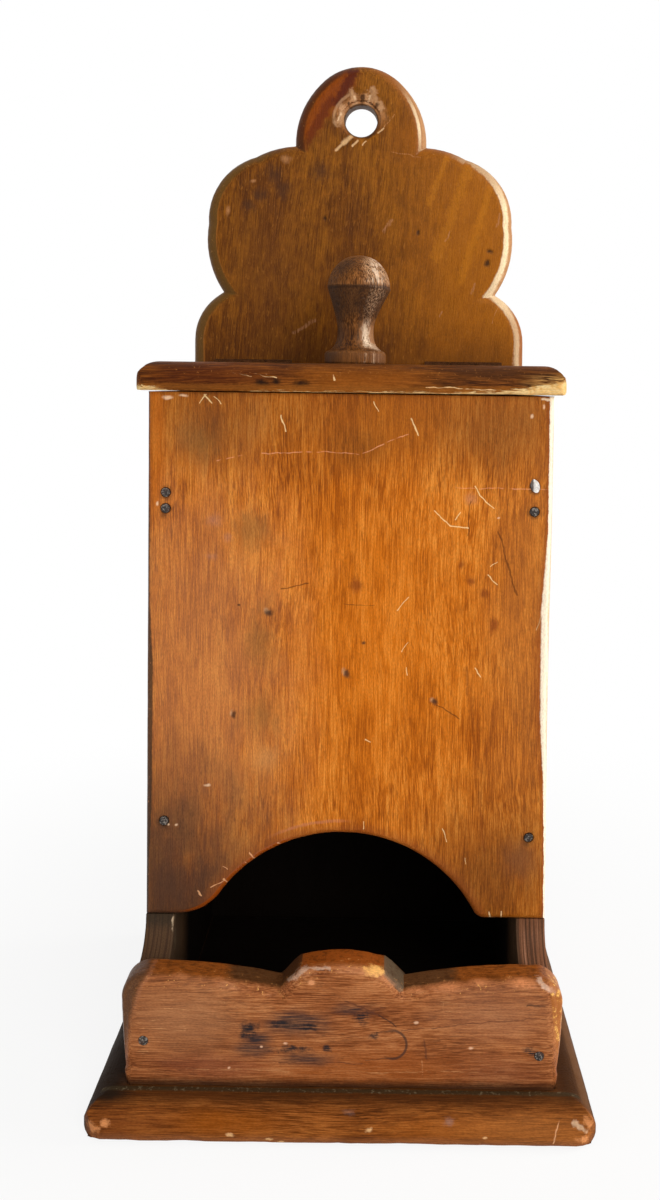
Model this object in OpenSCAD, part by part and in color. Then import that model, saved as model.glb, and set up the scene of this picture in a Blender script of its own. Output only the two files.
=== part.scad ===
// Wall salt box of nailed boards: a lidded box with an arched mouth, an open trough and a spreading base.
// Millimetres, +Z up. The front faces -Y and the origin lies under the middle of the base.

/* [Upper box] */
// Width across the outer faces of the two sides
box_w = 165; // [150:1:185]
// From the wall to the face of the front panel
box_depth = 114; // [105:1:135]
// Height of the upper ends of the sides
box_top = 283; // [260:1:320]
// Thickness of the two sides
side_t = 12; // [10:0.5:14]
// Thickness of the front panel
panel_t = 12; // [10:0.5:14]
// Height of the front panel's lower edge
panel_foot = 67; // [63:0.5:78]
// Rounding of the front panel's face edges
panel_edge_r = 2.5; // [1:0.5:4]
// How far the sides' ears under the panel stand back from its face
ear_back = 1; // [0.5:0.5:4]

/* [Arched mouth] */
// Radius of the arch
arch_r = 62; // [54:1:66]
// Rise of the arch above the panel's lower edge
arch_rise = 35; // [26:1:42]
// Shift of the hand-cut arch from the middle
arch_shift = -1.5; // [-4:0.5:4]
// Rounding of the arch's left foot
left_foot_r = 22; // [6:1:24]
// Rounding of the arch's right foot
right_foot_r = 5; // [5:1:20]

/* [Back board] */
// Thickness of the back board
back_t = 12; // [10:0.5:16]
// Height of the back board's top
back_top = 445; // [430:1:490]
// Rounding of the face edge round the lobes
back_edge_r = 6.5; // [2:0.5:8]
// Radius at the tip of the top lobe
tip_r = 28; // [24:0.5:30]
// Half the width of the top lobe at its foot
tip_half_w = 32.8; // [32:0.2:35]
// Drop from the top to the foot of the top lobe
tip_drop = 38; // [36:0.5:42]
// Radius of the two middle lobes
mid_lobe_r = 46.5; // [45:0.5:48]
// From the middle of the board to the centre of each middle lobe
mid_lobe_x = 30; // [28:0.5:32]
// Drop from the top to the centres of the middle lobes
mid_lobe_drop = 86; // [84:0.5:88]
// Radius of the shoulders that fill out the middle lobes
shoulder_r = 32.5; // [31:0.5:34]
// From the middle of the board to the centre of each shoulder
shoulder_x = 43.5; // [42:0.5:45]
// Drop from the top to the centres of the shoulders
shoulder_drop = 76.5; // [75:0.5:78]
// Radius of the two lower lobes
low_lobe_r = 27; // [25:0.5:30]
// Drop from the top to the centres of the lower lobes
low_lobe_drop = 136.5; // [133:0.5:140]
// Radius of the hanging hole
hang_r = 8; // [5:0.5:10]
// Drop from the top to the middle of the hanging hole
hang_drop = 27.5; // [22:0.5:34]
// Worn chamfer round the front of the hanging hole
hang_wear = 1.5; // [0.5:0.5:3]

/* [Base] */
// Thickness of the base board
base_t = 15; // [14:0.5:18]
// How far the base stands out past each side
base_side_out = 15.5; // [10:0.5:20]
// How far the base stands out past the trough's face
base_front_out = 12; // [8:0.5:20]
// Rounding of the base's upper edge
base_upper_r = 11; // [4:0.5:12]
// Rounding of the base's lower edge
base_lower_r = 3; // [0.5:0.5:3.5]
// Rounding of the base's front corners seen from above
base_corner_r = 8; // [2:0.5:10]

/* [Trough front] */
// How far the trough's face stands out past the front panel's face
trough_out = 30; // [26:0.5:40]
// Thickness of the trough's front board
trough_t = 16; // [13:0.5:18]
// How far each end of the trough board stands out past the sides
trough_side_out = 3.5; // [1:0.5:7]
// Height of the trough board near its ends
wing_h = 42.5; // [40:0.5:46]
// Height of the trough board at its two notches
notch_h = 37.5; // [35:0.5:39]
// From the middle to each notch
notch_x = 24; // [20:0.5:30]
// Height of the trough board's middle crown
crown_h = 47.5; // [45:0.5:49.5]
// Radius of the crown's top
crown_r = 60; // [40:1:120]
// Slope of the crown's two ends
crown_slope = 45; // [40:1:55]
// Radius of the trough board's upper corners
trough_end_r = 10; // [7:0.5:12]
// Radius of the long curve that draws the trough board's ends in towards the base
trough_side_r = 210; // [150:10:400]
// Rounding of the trough board's edges
trough_edge_r = 2.5; // [1.5:0.5:5.5]
// How far the sides' ledges lie below the trough board's ends
ledge_drop = 5; // [2:0.5:12]

/* [Lid] */
// Thickness of the lid
lid_t = 12; // [10.5:0.5:15]
// How far the lid stands out past each side
lid_side_out = 4.5; // [1:0.5:8]
// How far the lid stands out past the front panel
lid_front_out = 4; // [1:0.5:8]
// Rounding of the lid's upper edge
lid_upper_r = 8.5; // [3:0.5:8.5]
// Rounding of the lid's lower edge
lid_lower_r = 1.5; // [0.5:0.5:1.5]
// Rounding of the lid's front corners seen from above
lid_corner_r = 4; // [2:0.5:8]
// Air between the lid and the back board
lid_back_gap = 1.5; // [1:0.1:2]
// Air between the lid and the box under it
lid_seat_gap = 0.3; // [0.2:0.1:0.6]

/* [Knob] */
// Height of the knob above the lid
knob_h = 49; // [46:0.5:54]
// Radius of the knob's rim, where it is widest
knob_rim_r = 14.3; // [13:0.1:16]
// Height of the rim above the lid
knob_rim_z = 34.5; // [32:0.5:37]
// Radius of the knob's neck
knob_neck_r = 8; // [7:0.1:9.5]
// Height of the neck above the lid
knob_neck_z = 14.5; // [13:0.5:16.5]
// Radius of the knob's foot ring
knob_foot_r = 13.8; // [12.5:0.1:15]
// Height of the knob's foot ring
knob_foot_h = 6.5; // [5:0.5:8]
// Rounding of the foot ring's upper edge
knob_foot_edge_r = 1.5; // [0.5:0.5:2]
// Radius of the tenon glued into the lid
tenon_r = 5; // [4:0.1:6]

/* [Hinges] */
// From the outer face of a side to the middle of the hinge near it
hinge_inset = 30.5; // [28:0.5:36]
// Length of each hinge
hinge_len = 38; // [32:1:44]
// Height of each leaf below the pin's centre
leaf_h = 11; // [9.5:0.5:12]
// Thickness of the leaves
leaf_t = 1.2; // [1:0.1:1.4]
// Radius of the knuckles
knuckle_r = 2.2; // [2:0.1:2.6]
// Radius of the hinge pins
pin_r = 1; // [0.8:0.1:1.2]
// Height of the pin's centre above the lid
pin_lift = 1.2; // [1.2:0.1:2]
// Air between a turning knuckle and the board behind it
knuckle_gap = 0.3; // [0.3:0.1:0.6]
// Air between neighbouring knuckles
knuckle_end_gap = 0.3; // [0.2:0.1:0.6]
// Radial clearance of the turning knuckles on their pins
pin_run = 0.05; // [0.02:0.01:0.1]
// Radial clearance of the fixed knuckles on their pins
pin_seat = 0.02; // [0.01:0.01:0.05]

/* [Screws and nails] */
// Radius of the hinge screws' shanks
screw_r = 1.2; // [1:0.1:1.4]
// Radius of the hinge screws' heads
screw_head_r = 2.3; // [2:0.1:2.5]
// Length of the hinge screws
screw_len = 9; // [7:0.5:9.5]
// Width of the slots in the screw heads
screw_slot_w = 0.6; // [0.4:0.1:0.8]
// From the middle of a hinge to each of its screws
screw_x = 12; // [10:0.5:13]
// From the pin's centre down to the screws
screw_drop = 6.5; // [6:0.1:6.8]
// Radius of the nails' shanks
nail_r = 1; // [0.7:0.1:1.3]
// Radius of the nails' heads
nail_head_r = 1.9; // [1.5:0.1:2.4]
// Thickness of the nails' heads
nail_head_h = 1; // [0.5:0.1:1.5]
// Length of the nails
nail_len = 28; // [24:1:32]
// Radial clearance of nails, screws and tenon in their holes
hole_fit = 0.05; // [0.02:0.01:0.1]
// From the outer face of a side to the nails driven into its edge
nail_inset = 7.5; // [5:0.5:8]
// Drop from the panel's upper edge to the left pair of nails
left_pair_drop = [41, 47.5]; // [20:0.5:60]
// Drop from the panel's upper edge to the right pair of nails
right_pair_drop = [36.5, 47]; // [20:0.5:60]
// Height of the panel's low left nail above its lower edge
left_low_nail = 39.5; // [20:0.5:60]
// Height of the panel's low right nail above its lower edge
right_low_nail = 34.5; // [20:0.5:60]
// Height of the trough's left nail above the base
left_trough_nail = 17.5; // [8:0.5:24]
// Height of the trough's right nail above the base
right_trough_nail = 13.5; // [8:0.5:24]
// Nails through the back board into each side
back_nail_count = 4; // [3:1:6]
// From the ends of a side's rear edge to its first and last nail
back_nail_end = 30; // [25:1:45]
// From the middle to the base nails under the trough and the back board
base_nail_x = 40; // [25:1:55]
// From the ends of a side's lower edge to its base nails
base_nail_end = 20; // [15:1:26]

/* [Hidden] */
$fn = 96;

// Overshoot of every cut past the face that it opens
cut = 1;
// Depth by which one curve sinks into the next where they run together
blend = 0.1;

// Faces along the depth, from the wall to the front of the base
depth = box_depth + trough_out + base_front_out;
wall_y = depth / 2;
board_y = wall_y - back_t;
panel_y = wall_y - box_depth;
side_front_y = panel_y + panel_t;
trough_y = panel_y - trough_out;
ledge_y = trough_y + trough_t;
base_w = box_w + 2 * base_side_out;

// The sides' ears under the panel and the coves that sweep out to the trough
ear_y = panel_y + ear_back;
cove_r = ear_y - ledge_y;
ledge_z = base_t + wing_h - ledge_drop;

// The arch's centre lies below the panel's lower edge
arch_below = arch_r - arch_rise;
arch_z = panel_foot - arch_below;

// Heights of the back board's lobes
tip_z = back_top - tip_drop;
mid_lobe_z = back_top - mid_lobe_drop;
shoulder_z = back_top - shoulder_drop;
low_lobe_z = back_top - low_lobe_drop;
low_lobe_x = box_w / 2 - low_lobe_r;
hang_z = back_top - hang_drop;

// The top lobe's flanks are arcs that run smoothly into its tip
tip_widen = tip_half_w - tip_r;
tip_rise = tip_drop - tip_r;
flank_x = (tip_rise * tip_rise - tip_widen * tip_widen) / (2 * tip_widen);
flank_r = tip_half_w + flank_x;

// Trough board: the wings' arcs are highest above the centres of the rounded ends
trough_half_w = box_w / 2 + trough_side_out;
end_x = trough_half_w - trough_end_r;
end_z = wing_h - trough_end_r;
wing_fall = wing_h - notch_h;
wing_run = end_x - notch_x;
wing_r = (wing_run * wing_run + wing_fall * wing_fall) / (2 * wing_fall);

// Lid, knob and hinge axis
lid_w = box_w + 2 * lid_side_out;
lid_front_y = panel_y - lid_front_out;
lid_back_y = board_y - lid_back_gap;
lid_z = box_top + lid_seat_gap;
lid_top = lid_z + lid_t;
knob_y = (lid_front_y + lid_back_y) / 2;
hinge_x = box_w / 2 - hinge_inset;
pin_y = board_y - knuckle_gap - knuckle_r;
pin_z = lid_top + pin_lift;
lid_leaf_y = pin_y - knuckle_r;
knuckle_len = (hinge_len - 2 * knuckle_end_gap) / 3;
leaf_clear = knuckle_r + knuckle_gap;
screw_z = pin_z - screw_drop;
head_depth = screw_head_r - screw_r;

// Places of the nails
nail_x = box_w / 2 - nail_inset;
panel_h = box_top - panel_foot;
side_nail_x = box_w / 2 - side_t / 2;
panel_nail_places = concat(
  [for (d = left_pair_drop) [-nail_x, box_top - d]],
  [for (d = right_pair_drop) [nail_x, box_top - d]],
  [[-nail_x, panel_foot + left_low_nail], [nail_x, panel_foot + right_low_nail]]
);
trough_nail_places = [
  [-side_nail_x, base_t + left_trough_nail],
  [side_nail_x, base_t + right_trough_nail]
];
back_nail_step = (box_top - base_t - 2 * back_nail_end) / (back_nail_count - 1);
back_nail_places = [
  for (x = [-side_nail_x, side_nail_x], i = [0 : back_nail_count - 1])
    [x, base_t + back_nail_end + i * back_nail_step]
];
base_nail_places = concat(
  [for (x = [-side_nail_x, side_nail_x], y = [side_front_y, board_y - base_nail_end]) [x, y]],
  [for (x = [-base_nail_x, base_nail_x], y = [trough_y + trough_t / 2, wall_y - back_t / 2]) [x, y]]
);

// Colours of the woods and the iron
board_colour = "#a5641f";
dark_colour = "#6f3f1c";
trough_colour = "#834a22";
knob_colour = "#6d4c33";
iron_colour = "#4a4744";

// Waste of a rounding of radius r at a corner on [0, 0] whose board lies towards -X and -Y
module corner_waste(r) {
  difference() {
    translate([-r, -r]) square(r + cut);
    translate([-r, -r]) circle(r);
  }
}

// Waste of a rounding at the given corner, with signs that say which way the board lies from it
module rounding(corner, inward, r) {
  translate(corner)
    mirror([inward[0] > 0 ? 1 : 0, 0])
    mirror([0, inward[1] > 0 ? 1 : 0])
    corner_waste(r);
}

// Board section w wide and t thick, its face on y = 0 and both face corners rounded
module face_rounded_section(w, t, r) {
  difference() {
    translate([-w / 2, 0]) square([w, t]);
    rounding([-w / 2, 0], [1, 1], r);
    rounding([w / 2, 0], [-1, 1], r);
  }
}

// Section from the middle out to radius r of a disc t thick, with its face edge rounded
module face_rounded_half(r, t, edge_r) {
  difference() {
    square([r, t]);
    rounding([r, 0], [-1, 1], edge_r);
  }
}

// The same with the rear edge rounded too
module both_rounded_half(r, t, edge_r) {
  difference() {
    face_rounded_half(r, t, edge_r);
    rounding([r, t], [-1, -1], edge_r);
  }
}

// Stands a turned shape up with its axis along Y and its face towards the front
module face_forward() {
  rotate([-90, 0, 0]) children();
}

// Runs a section drawn across the depth and the height along X
module run_along_x(length) {
  rotate([90, 0, 90]) linear_extrude(length, center = true) children();
}

// Runs an outline drawn across the width and the height from y to y + length
module run_along_y(y, length) {
  translate([0, y + length, 0]) rotate([90, 0, 0]) linear_extrude(length) children();
}

// One lobe of the back board with its face edge rounded
module back_lobe(x, z, r) {
  translate([x, board_y, z]) face_forward() rotate_extrude() face_rounded_half(r, back_t, back_edge_r);
}

// Top lobe: a round tip between two long flank arcs
module top_lobe() {
  back_lobe(0, back_top - tip_r, tip_r);
  tip_share = tip_r / (flank_r - tip_r);
  join_z = min(back_top - tip_r + tip_share * tip_rise, back_top - back_edge_r - blend);
  intersection() {
    back_lobe(-flank_x, tip_z, flank_r - blend);
    back_lobe(flank_x, tip_z, flank_r - blend);
    translate([-box_w / 2, board_y - cut, tip_z - tip_drop])
      cube([box_w, back_t + 2 * cut, join_z - tip_z + tip_drop]);
  }
}

// Shank and flush head of a nail, driven along +Z from z = 0, grown all round by extra
module nail(extra = 0) {
  translate([0, 0, -extra]) cylinder(r = nail_head_r + extra, h = nail_head_h + 2 * extra);
  cylinder(r = nail_r + extra, h = nail_len + extra);
}

// Nails driven backwards through the board whose face lies at y
module nails_from_front(places, y, extra = 0) {
  for (p = places) {
    translate([p[0], y, p[1]]) rotate([-90, 0, 0]) nail(extra);
  }
}

// Nails driven forwards through the back board
module nails_from_wall(extra = 0) {
  for (p = back_nail_places) {
    translate([p[0], wall_y, p[1]]) rotate([90, 0, 0]) nail(extra);
  }
}

// Nails driven up through the base
module nails_from_below(extra = 0) {
  for (p = base_nail_places) {
    translate([p[0], p[1], 0]) nail(extra);
  }
}

// Countersunk screw with its head's face on z = 0, driven along +Z, grown all round by extra
module screw(extra = 0) {
  cylinder(r1 = screw_head_r + extra, r2 = screw_r + extra, h = head_depth);
  cylinder(r = screw_r + extra, h = screw_len + extra);
  if (extra > 0) {
    translate([0, 0, -cut]) cylinder(r = screw_head_r + extra, h = cut);
  }
}

// The two screws of a back leaf, driven into the back board
module back_leaf_screw_pair(x, extra = 0) {
  for (s = [-1, 1]) {
    translate([x + s * screw_x, board_y - leaf_t, screw_z]) rotate([-90, 0, 0]) screw(extra);
  }
}

// The two screws of a lid leaf, driven into the lid's rear edge
module lid_leaf_screw_pair(x, extra = 0) {
  for (s = [-1, 1]) {
    translate([x + s * screw_x, lid_leaf_y + leaf_t, screw_z]) rotate([90, 0, 0]) screw(extra);
  }
}

// Slots across the heads of a pair of screws whose faces lie at y
module screw_slots(x, y) {
  for (s = [-1, 1]) {
    translate([x + s * screw_x, y, screw_z])
      cube([2 * screw_head_r + cut, head_depth, screw_slot_w], center = true);
  }
}

// Board with its upper and lower edges rounded on the front and both sides, flat at the rear
module edged_board(w, front_y, rear_y, z, t, upper_r, lower_r, corner_r) {
  length = rear_y - front_y;
  intersection() {
    run_along_x(w) translate([front_y, z]) difference() {
      square([length, t]);
      rounding([0, 0], [1, 1], lower_r);
      rounding([0, t], [1, -1], upper_r);
    }
    run_along_y(front_y, length) translate([0, z]) difference() {
      translate([-w / 2, 0]) square([w, t]);
      for (s = [-1, 1]) {
        rounding([s * w / 2, 0], [-s, 1], lower_r);
        rounding([s * w / 2, t], [-s, -1], upper_r);
      }
    }
    translate([0, front_y, z]) linear_extrude(t) face_rounded_section(w, length, corner_r);
  }
}

// Outline of one side: the upper board, the ear under the panel and the cove down to the trough
module side_outline() {
  translate([side_front_y, base_t]) square([board_y - side_front_y, box_top - base_t]);
  translate([ear_y, base_t]) square([side_front_y - ear_y, panel_foot - base_t]);
  intersection() {
    difference() {
      translate([ledge_y, base_t]) square([cove_r, ledge_z + cove_r - base_t]);
      translate([ledge_y, ledge_z + cove_r]) circle(cove_r);
    }
    translate([ledge_y, base_t]) square([cove_r, panel_foot - base_t]);
  }
}

// One side board with the holes of every nail that reaches it
module side_board(x) {
  difference() {
    translate([x, 0, 0]) run_along_x(side_t) side_outline();
    nails_from_front(panel_nail_places, panel_y, hole_fit);
    nails_from_front(trough_nail_places, trough_y, hole_fit);
    nails_from_wall(hole_fit);
    nails_from_below(hole_fit);
  }
}

// Centre of the rounding of an arch foot, on the side given by s
function foot_centre(s, r) = [
  arch_shift + s * sqrt(pow(arch_r + r - blend, 2) - pow(arch_below + r, 2)),
  panel_foot + r
];

// Corner of the panel between the arch's centre, the centre of a foot's rounding and the lower edge
module foot_corner(s, r) {
  c = foot_centre(s, r);
  run_along_y(panel_y - cut, panel_t + 2 * cut)
    polygon([[arch_shift, arch_z], c, [c[0], panel_foot - cut]]);
}

// Rounded foot of the arch, within its corner of the panel
module foot(s, r) {
  c = foot_centre(s, r);
  intersection() {
    translate([c[0], panel_y, c[1]]) face_forward()
      rotate_extrude() face_rounded_half(r, panel_t, panel_edge_r);
    foot_corner(s, r);
  }
}

// Waste of the rounding along the panel's plain lower edge, outside a foot
module lower_edge_waste(s, r) {
  x = foot_centre(s, r)[0];
  plain_w = box_w / 2 - s * x + cut;
  translate([x + s * plain_w / 2, panel_y, panel_foot])
    run_along_x(plain_w) rounding([0, 0], [1, 1], panel_edge_r);
}

// Waste of the arch, flared by the rounding of its face edge
module arch_waste() {
  translate([arch_shift, panel_y, arch_z]) face_forward() rotate_extrude($fn = 180) {
    translate([0, -cut]) square([arch_r, panel_t + 2 * cut]);
    rounding([arch_r, 0], [1, 1], panel_edge_r);
  }
}

// Disc of the trough board's thickness with both edges rounded
module trough_disc(r) {
  face_forward() rotate_extrude($fn = 180) both_rounded_half(r, trough_t, trough_edge_r);
}

// Space between two widths and two heights, through the whole trough board
module trough_space(x0, x1, z0, z1) {
  translate([x0, -cut, z0]) cube([x1 - x0, trough_t + 2 * cut, z1 - z0]);
}

// Right half of the trough board's long body: wing, rounded upper corner and drawn-in end
module trough_wing() {
  intersection() {
    translate([end_x, 0, wing_h - blend - wing_r]) trough_disc(wing_r);
    trough_space(0, end_x, 0, wing_h + cut);
  }
  translate([end_x, 0, end_z]) trough_disc(trough_end_r);
  intersection() {
    translate([trough_half_w - blend - trough_side_r, 0, end_z]) trough_disc(trough_side_r);
    trough_space(0, trough_half_w + cut, 0, end_z);
  }
}

// Crown between the notches: a low arc between two straight slopes that sink into the wings
module trough_crown() {
  slope = tan(crown_slope);
  sunk_x = notch_x + notch_h / 2 / slope;
  intersection() {
    translate([0, 0, crown_h - crown_r]) trough_disc(crown_r);
    run_along_y(-cut, trough_t + 2 * cut)
      polygon([[-sunk_x, notch_h / 2], [0, notch_h + notch_x * slope], [sunk_x, notch_h / 2]]);
  }
}

// One knuckle of the left or right hinge, numbered 0 to 2 along X, bored for the pin
module knuckle(x, i, clearance) {
  start = x - hinge_len / 2 + i * (knuckle_len + knuckle_end_gap);
  translate([start, pin_y, pin_z]) rotate([0, 90, 0]) difference() {
    cylinder(r = knuckle_r, h = knuckle_len);
    translate([0, 0, -cut]) cylinder(r = pin_r + clearance, h = knuckle_len + 2 * cut);
  }
}

// Part of a leaf that reaches up to the knuckle numbered i, kept clear of the pin
module leaf_tongue(x, y, i) {
  start = x - hinge_len / 2 + i * (knuckle_len + knuckle_end_gap);
  translate([start, y, pin_z - leaf_clear]) cube([knuckle_len, leaf_t, leaf_clear]);
}

// Plate of a leaf below its knuckles
module leaf_plate(x, y) {
  translate([x - hinge_len / 2, y, pin_z - leaf_h]) cube([hinge_len, leaf_t, leaf_h - leaf_clear]);
}

// Room for the pin and its clearance through a leaf
module pin_room(x, clearance) {
  translate([x - hinge_len / 2 - cut, pin_y, pin_z]) rotate([0, 90, 0])
    cylinder(r = pin_r + clearance, h = hinge_len + 2 * cut);
}

module back_leaf(x) {
  difference() {
    union() {
      leaf_plate(x, board_y - leaf_t);
      for (i = [0, 2]) {
        leaf_tongue(x, board_y - leaf_t, i);
        knuckle(x, i, pin_seat);
      }
    }
    pin_room(x, pin_seat);
    back_leaf_screw_pair(x, hole_fit);
  }
}

module lid_leaf(x) {
  difference() {
    union() {
      leaf_plate(x, lid_leaf_y);
      leaf_tongue(x, lid_leaf_y, 1);
      knuckle(x, 1, pin_run);
    }
    pin_room(x, pin_run);
    lid_leaf_screw_pair(x, hole_fit);
  }
}

module hinge_pin(x) {
  translate([x - hinge_len / 2, pin_y, pin_z]) rotate([0, 90, 0]) cylinder(r = pin_r, h = hinge_len);
}

// Half section of the knob: dome, rim, hollow neck and foot ring, then the tenon under it
module knob_section() {
  dome_h = knob_h - knob_rim_z;
  dome_r = (dome_h * dome_h + knob_rim_r * knob_rim_r) / (2 * dome_h);
  head_fall = knob_rim_z - knob_neck_z;
  head_flare = knob_rim_r - knob_neck_r;
  upper_r = (head_fall * head_fall + head_flare * head_flare) / (2 * head_flare);
  foot_fall = knob_neck_z - knob_foot_h;
  foot_flare = knob_foot_r - knob_foot_edge_r - knob_neck_r;
  lower_r = (foot_fall * foot_fall + foot_flare * foot_flare) / (2 * foot_flare);
  intersection() {
    translate([0, knob_h - dome_r]) circle(dome_r, $fn = 180);
    translate([0, knob_rim_z]) square([knob_rim_r, dome_h]);
  }
  difference() {
    translate([0, knob_neck_z]) square([knob_rim_r, head_fall]);
    translate([knob_neck_r + upper_r, knob_neck_z]) circle(upper_r, $fn = 180);
  }
  difference() {
    translate([0, knob_foot_h]) square([knob_foot_r, foot_fall]);
    translate([knob_neck_r + lower_r, knob_neck_z]) circle(lower_r, $fn = 180);
    translate([knob_neck_r + foot_flare, knob_foot_h]) square([foot_flare + cut, foot_fall]);
  }
  difference() {
    square([knob_foot_r, knob_foot_h]);
    rounding([knob_foot_r, knob_foot_h], [-1, -1], knob_foot_edge_r);
  }
  translate([0, -lid_t]) square([tenon_r, lid_t]);
}

module back_board() color(board_colour) {
  difference() {
    union() {
      top_lobe();
      for (s = [-1, 1]) {
        back_lobe(s * shoulder_x, shoulder_z, shoulder_r);
        back_lobe(s * mid_lobe_x, mid_lobe_z, mid_lobe_r);
        back_lobe(s * low_lobe_x, low_lobe_z, low_lobe_r);
      }
      translate([-low_lobe_x, board_y, low_lobe_z]) cube([2 * low_lobe_x, back_t, mid_lobe_z - low_lobe_z]);
      translate([0, board_y, box_top]) linear_extrude(low_lobe_z - box_top)
        face_rounded_section(box_w, back_t, back_edge_r);
      translate([-box_w / 2, board_y, base_t]) cube([box_w, back_t, box_top - base_t]);
    }
    translate([0, board_y, hang_z]) face_forward() {
      translate([0, 0, -cut]) cylinder(r = hang_r, h = back_t + 2 * cut);
      translate([0, 0, -cut]) cylinder(r1 = hang_r + hang_wear + cut, r2 = hang_r, h = hang_wear + cut);
    }
    back_leaf_screw_pair(-hinge_x, hole_fit);
    back_leaf_screw_pair(hinge_x, hole_fit);
    nails_from_wall(hole_fit);
    nails_from_below(hole_fit);
  }
}

module left_side() color(dark_colour) side_board(-side_nail_x);
module right_side() color(dark_colour) side_board(side_nail_x);

module front_panel() color(board_colour) {
  difference() {
    union() {
      difference() {
        translate([0, panel_y, panel_foot]) linear_extrude(panel_h)
          face_rounded_section(box_w, panel_t, panel_edge_r);
        foot_corner(-1, left_foot_r);
        foot_corner(1, right_foot_r);
      }
      foot(-1, left_foot_r);
      foot(1, right_foot_r);
    }
    lower_edge_waste(-1, left_foot_r);
    lower_edge_waste(1, right_foot_r);
    arch_waste();
    nails_from_front(panel_nail_places, panel_y, hole_fit);
  }
}

module trough_front() color(trough_colour) {
  difference() {
    translate([0, trough_y, base_t]) {
      trough_wing();
      mirror([1, 0, 0]) trough_wing();
      trough_crown();
    }
    nails_from_front(trough_nail_places, trough_y, hole_fit);
    nails_from_below(hole_fit);
  }
}

module base_board() color(trough_colour) {
  difference() {
    edged_board(base_w, -wall_y, wall_y, 0, base_t, base_upper_r, base_lower_r, base_corner_r);
    nails_from_below(hole_fit);
  }
}

module lid() color(dark_colour) {
  difference() {
    edged_board(lid_w, lid_front_y, lid_back_y, lid_z, lid_t, lid_upper_r, lid_lower_r, lid_corner_r);
    translate([0, knob_y, lid_z - cut]) cylinder(r = tenon_r + hole_fit, h = lid_t + 2 * cut);
    for (s = [-1, 1]) {
      translate([s * hinge_x - hinge_len / 2 - knuckle_end_gap, lid_leaf_y, lid_z - cut])
        cube([hinge_len + 2 * knuckle_end_gap, lid_back_y - lid_leaf_y + cut, lid_t + 2 * cut]);
      lid_leaf_screw_pair(s * hinge_x, hole_fit);
    }
  }
}

module knob() color(knob_colour) translate([0, knob_y, lid_top]) rotate_extrude() knob_section();

module left_hinge_back_leaf() color(iron_colour) back_leaf(-hinge_x);
module right_hinge_back_leaf() color(iron_colour) back_leaf(hinge_x);
module left_hinge_lid_leaf() color(iron_colour) lid_leaf(-hinge_x);
module right_hinge_lid_leaf() color(iron_colour) lid_leaf(hinge_x);
module left_hinge_pin() color(iron_colour) hinge_pin(-hinge_x);
module right_hinge_pin() color(iron_colour) hinge_pin(hinge_x);

module slotted_back_screws(x) {
  difference() {
    back_leaf_screw_pair(x);
    screw_slots(x, board_y - leaf_t);
  }
}

module slotted_lid_screws(x) {
  difference() {
    lid_leaf_screw_pair(x);
    screw_slots(x, lid_leaf_y + leaf_t);
  }
}

module left_back_leaf_screws() color(iron_colour) slotted_back_screws(-hinge_x);
module right_back_leaf_screws() color(iron_colour) slotted_back_screws(hinge_x);
module left_lid_leaf_screws() color(iron_colour) slotted_lid_screws(-hinge_x);
module right_lid_leaf_screws() color(iron_colour) slotted_lid_screws(hinge_x);

module panel_nails() color(iron_colour) nails_from_front(panel_nail_places, panel_y);
module trough_nails() color(iron_colour) nails_from_front(trough_nail_places, trough_y);
module back_nails() color(iron_colour) nails_from_wall();
module base_nails() color(iron_colour) nails_from_below();

back_board();
left_side();
right_side();
front_panel();
trough_front();
base_board();
lid();
knob();
left_hinge_back_leaf();
right_hinge_back_leaf();
left_hinge_lid_leaf();
right_hinge_lid_leaf();
left_hinge_pin();
right_hinge_pin();
left_back_leaf_screws();
right_back_leaf_screws();
left_lid_leaf_screws();
right_lid_leaf_screws();
panel_nails();
trough_nails();
back_nails();
base_nails();
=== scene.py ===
import math

import bmesh
import bpy
from mathutils import Matrix, Vector, noise


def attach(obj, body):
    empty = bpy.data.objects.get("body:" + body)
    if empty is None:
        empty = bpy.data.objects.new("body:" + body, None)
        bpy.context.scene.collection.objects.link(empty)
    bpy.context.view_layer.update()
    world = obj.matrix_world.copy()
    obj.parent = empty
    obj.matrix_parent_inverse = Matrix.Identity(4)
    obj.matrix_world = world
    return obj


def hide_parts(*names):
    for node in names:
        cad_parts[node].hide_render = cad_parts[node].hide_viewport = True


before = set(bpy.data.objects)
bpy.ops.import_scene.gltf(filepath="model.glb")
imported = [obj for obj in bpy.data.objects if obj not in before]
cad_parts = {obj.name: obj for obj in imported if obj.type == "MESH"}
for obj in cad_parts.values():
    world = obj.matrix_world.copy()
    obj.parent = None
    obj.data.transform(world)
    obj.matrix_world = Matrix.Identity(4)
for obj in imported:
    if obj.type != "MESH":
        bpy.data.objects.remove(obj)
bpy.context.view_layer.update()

# Lengths are in millimetres unless they carry MM, and tones are screen values from 0 to 255.
MM = 0.001
FRAME_W, FRAME_H = 660, 1200

# Camera: where it stands, how it is turned and where its axis meets the picture.
EYE = Vector((13.6, -473.0, 286.4)) * MM
YAW, PITCH, ROLL = -0.0013, 0.03987, 0.01315
FOCAL = 1080.0
AXIS_X, AXIS_Y = 383.2, 428.85
SENSOR = 36.0
NEAREST, FARTHEST = 0.01, 30


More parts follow.
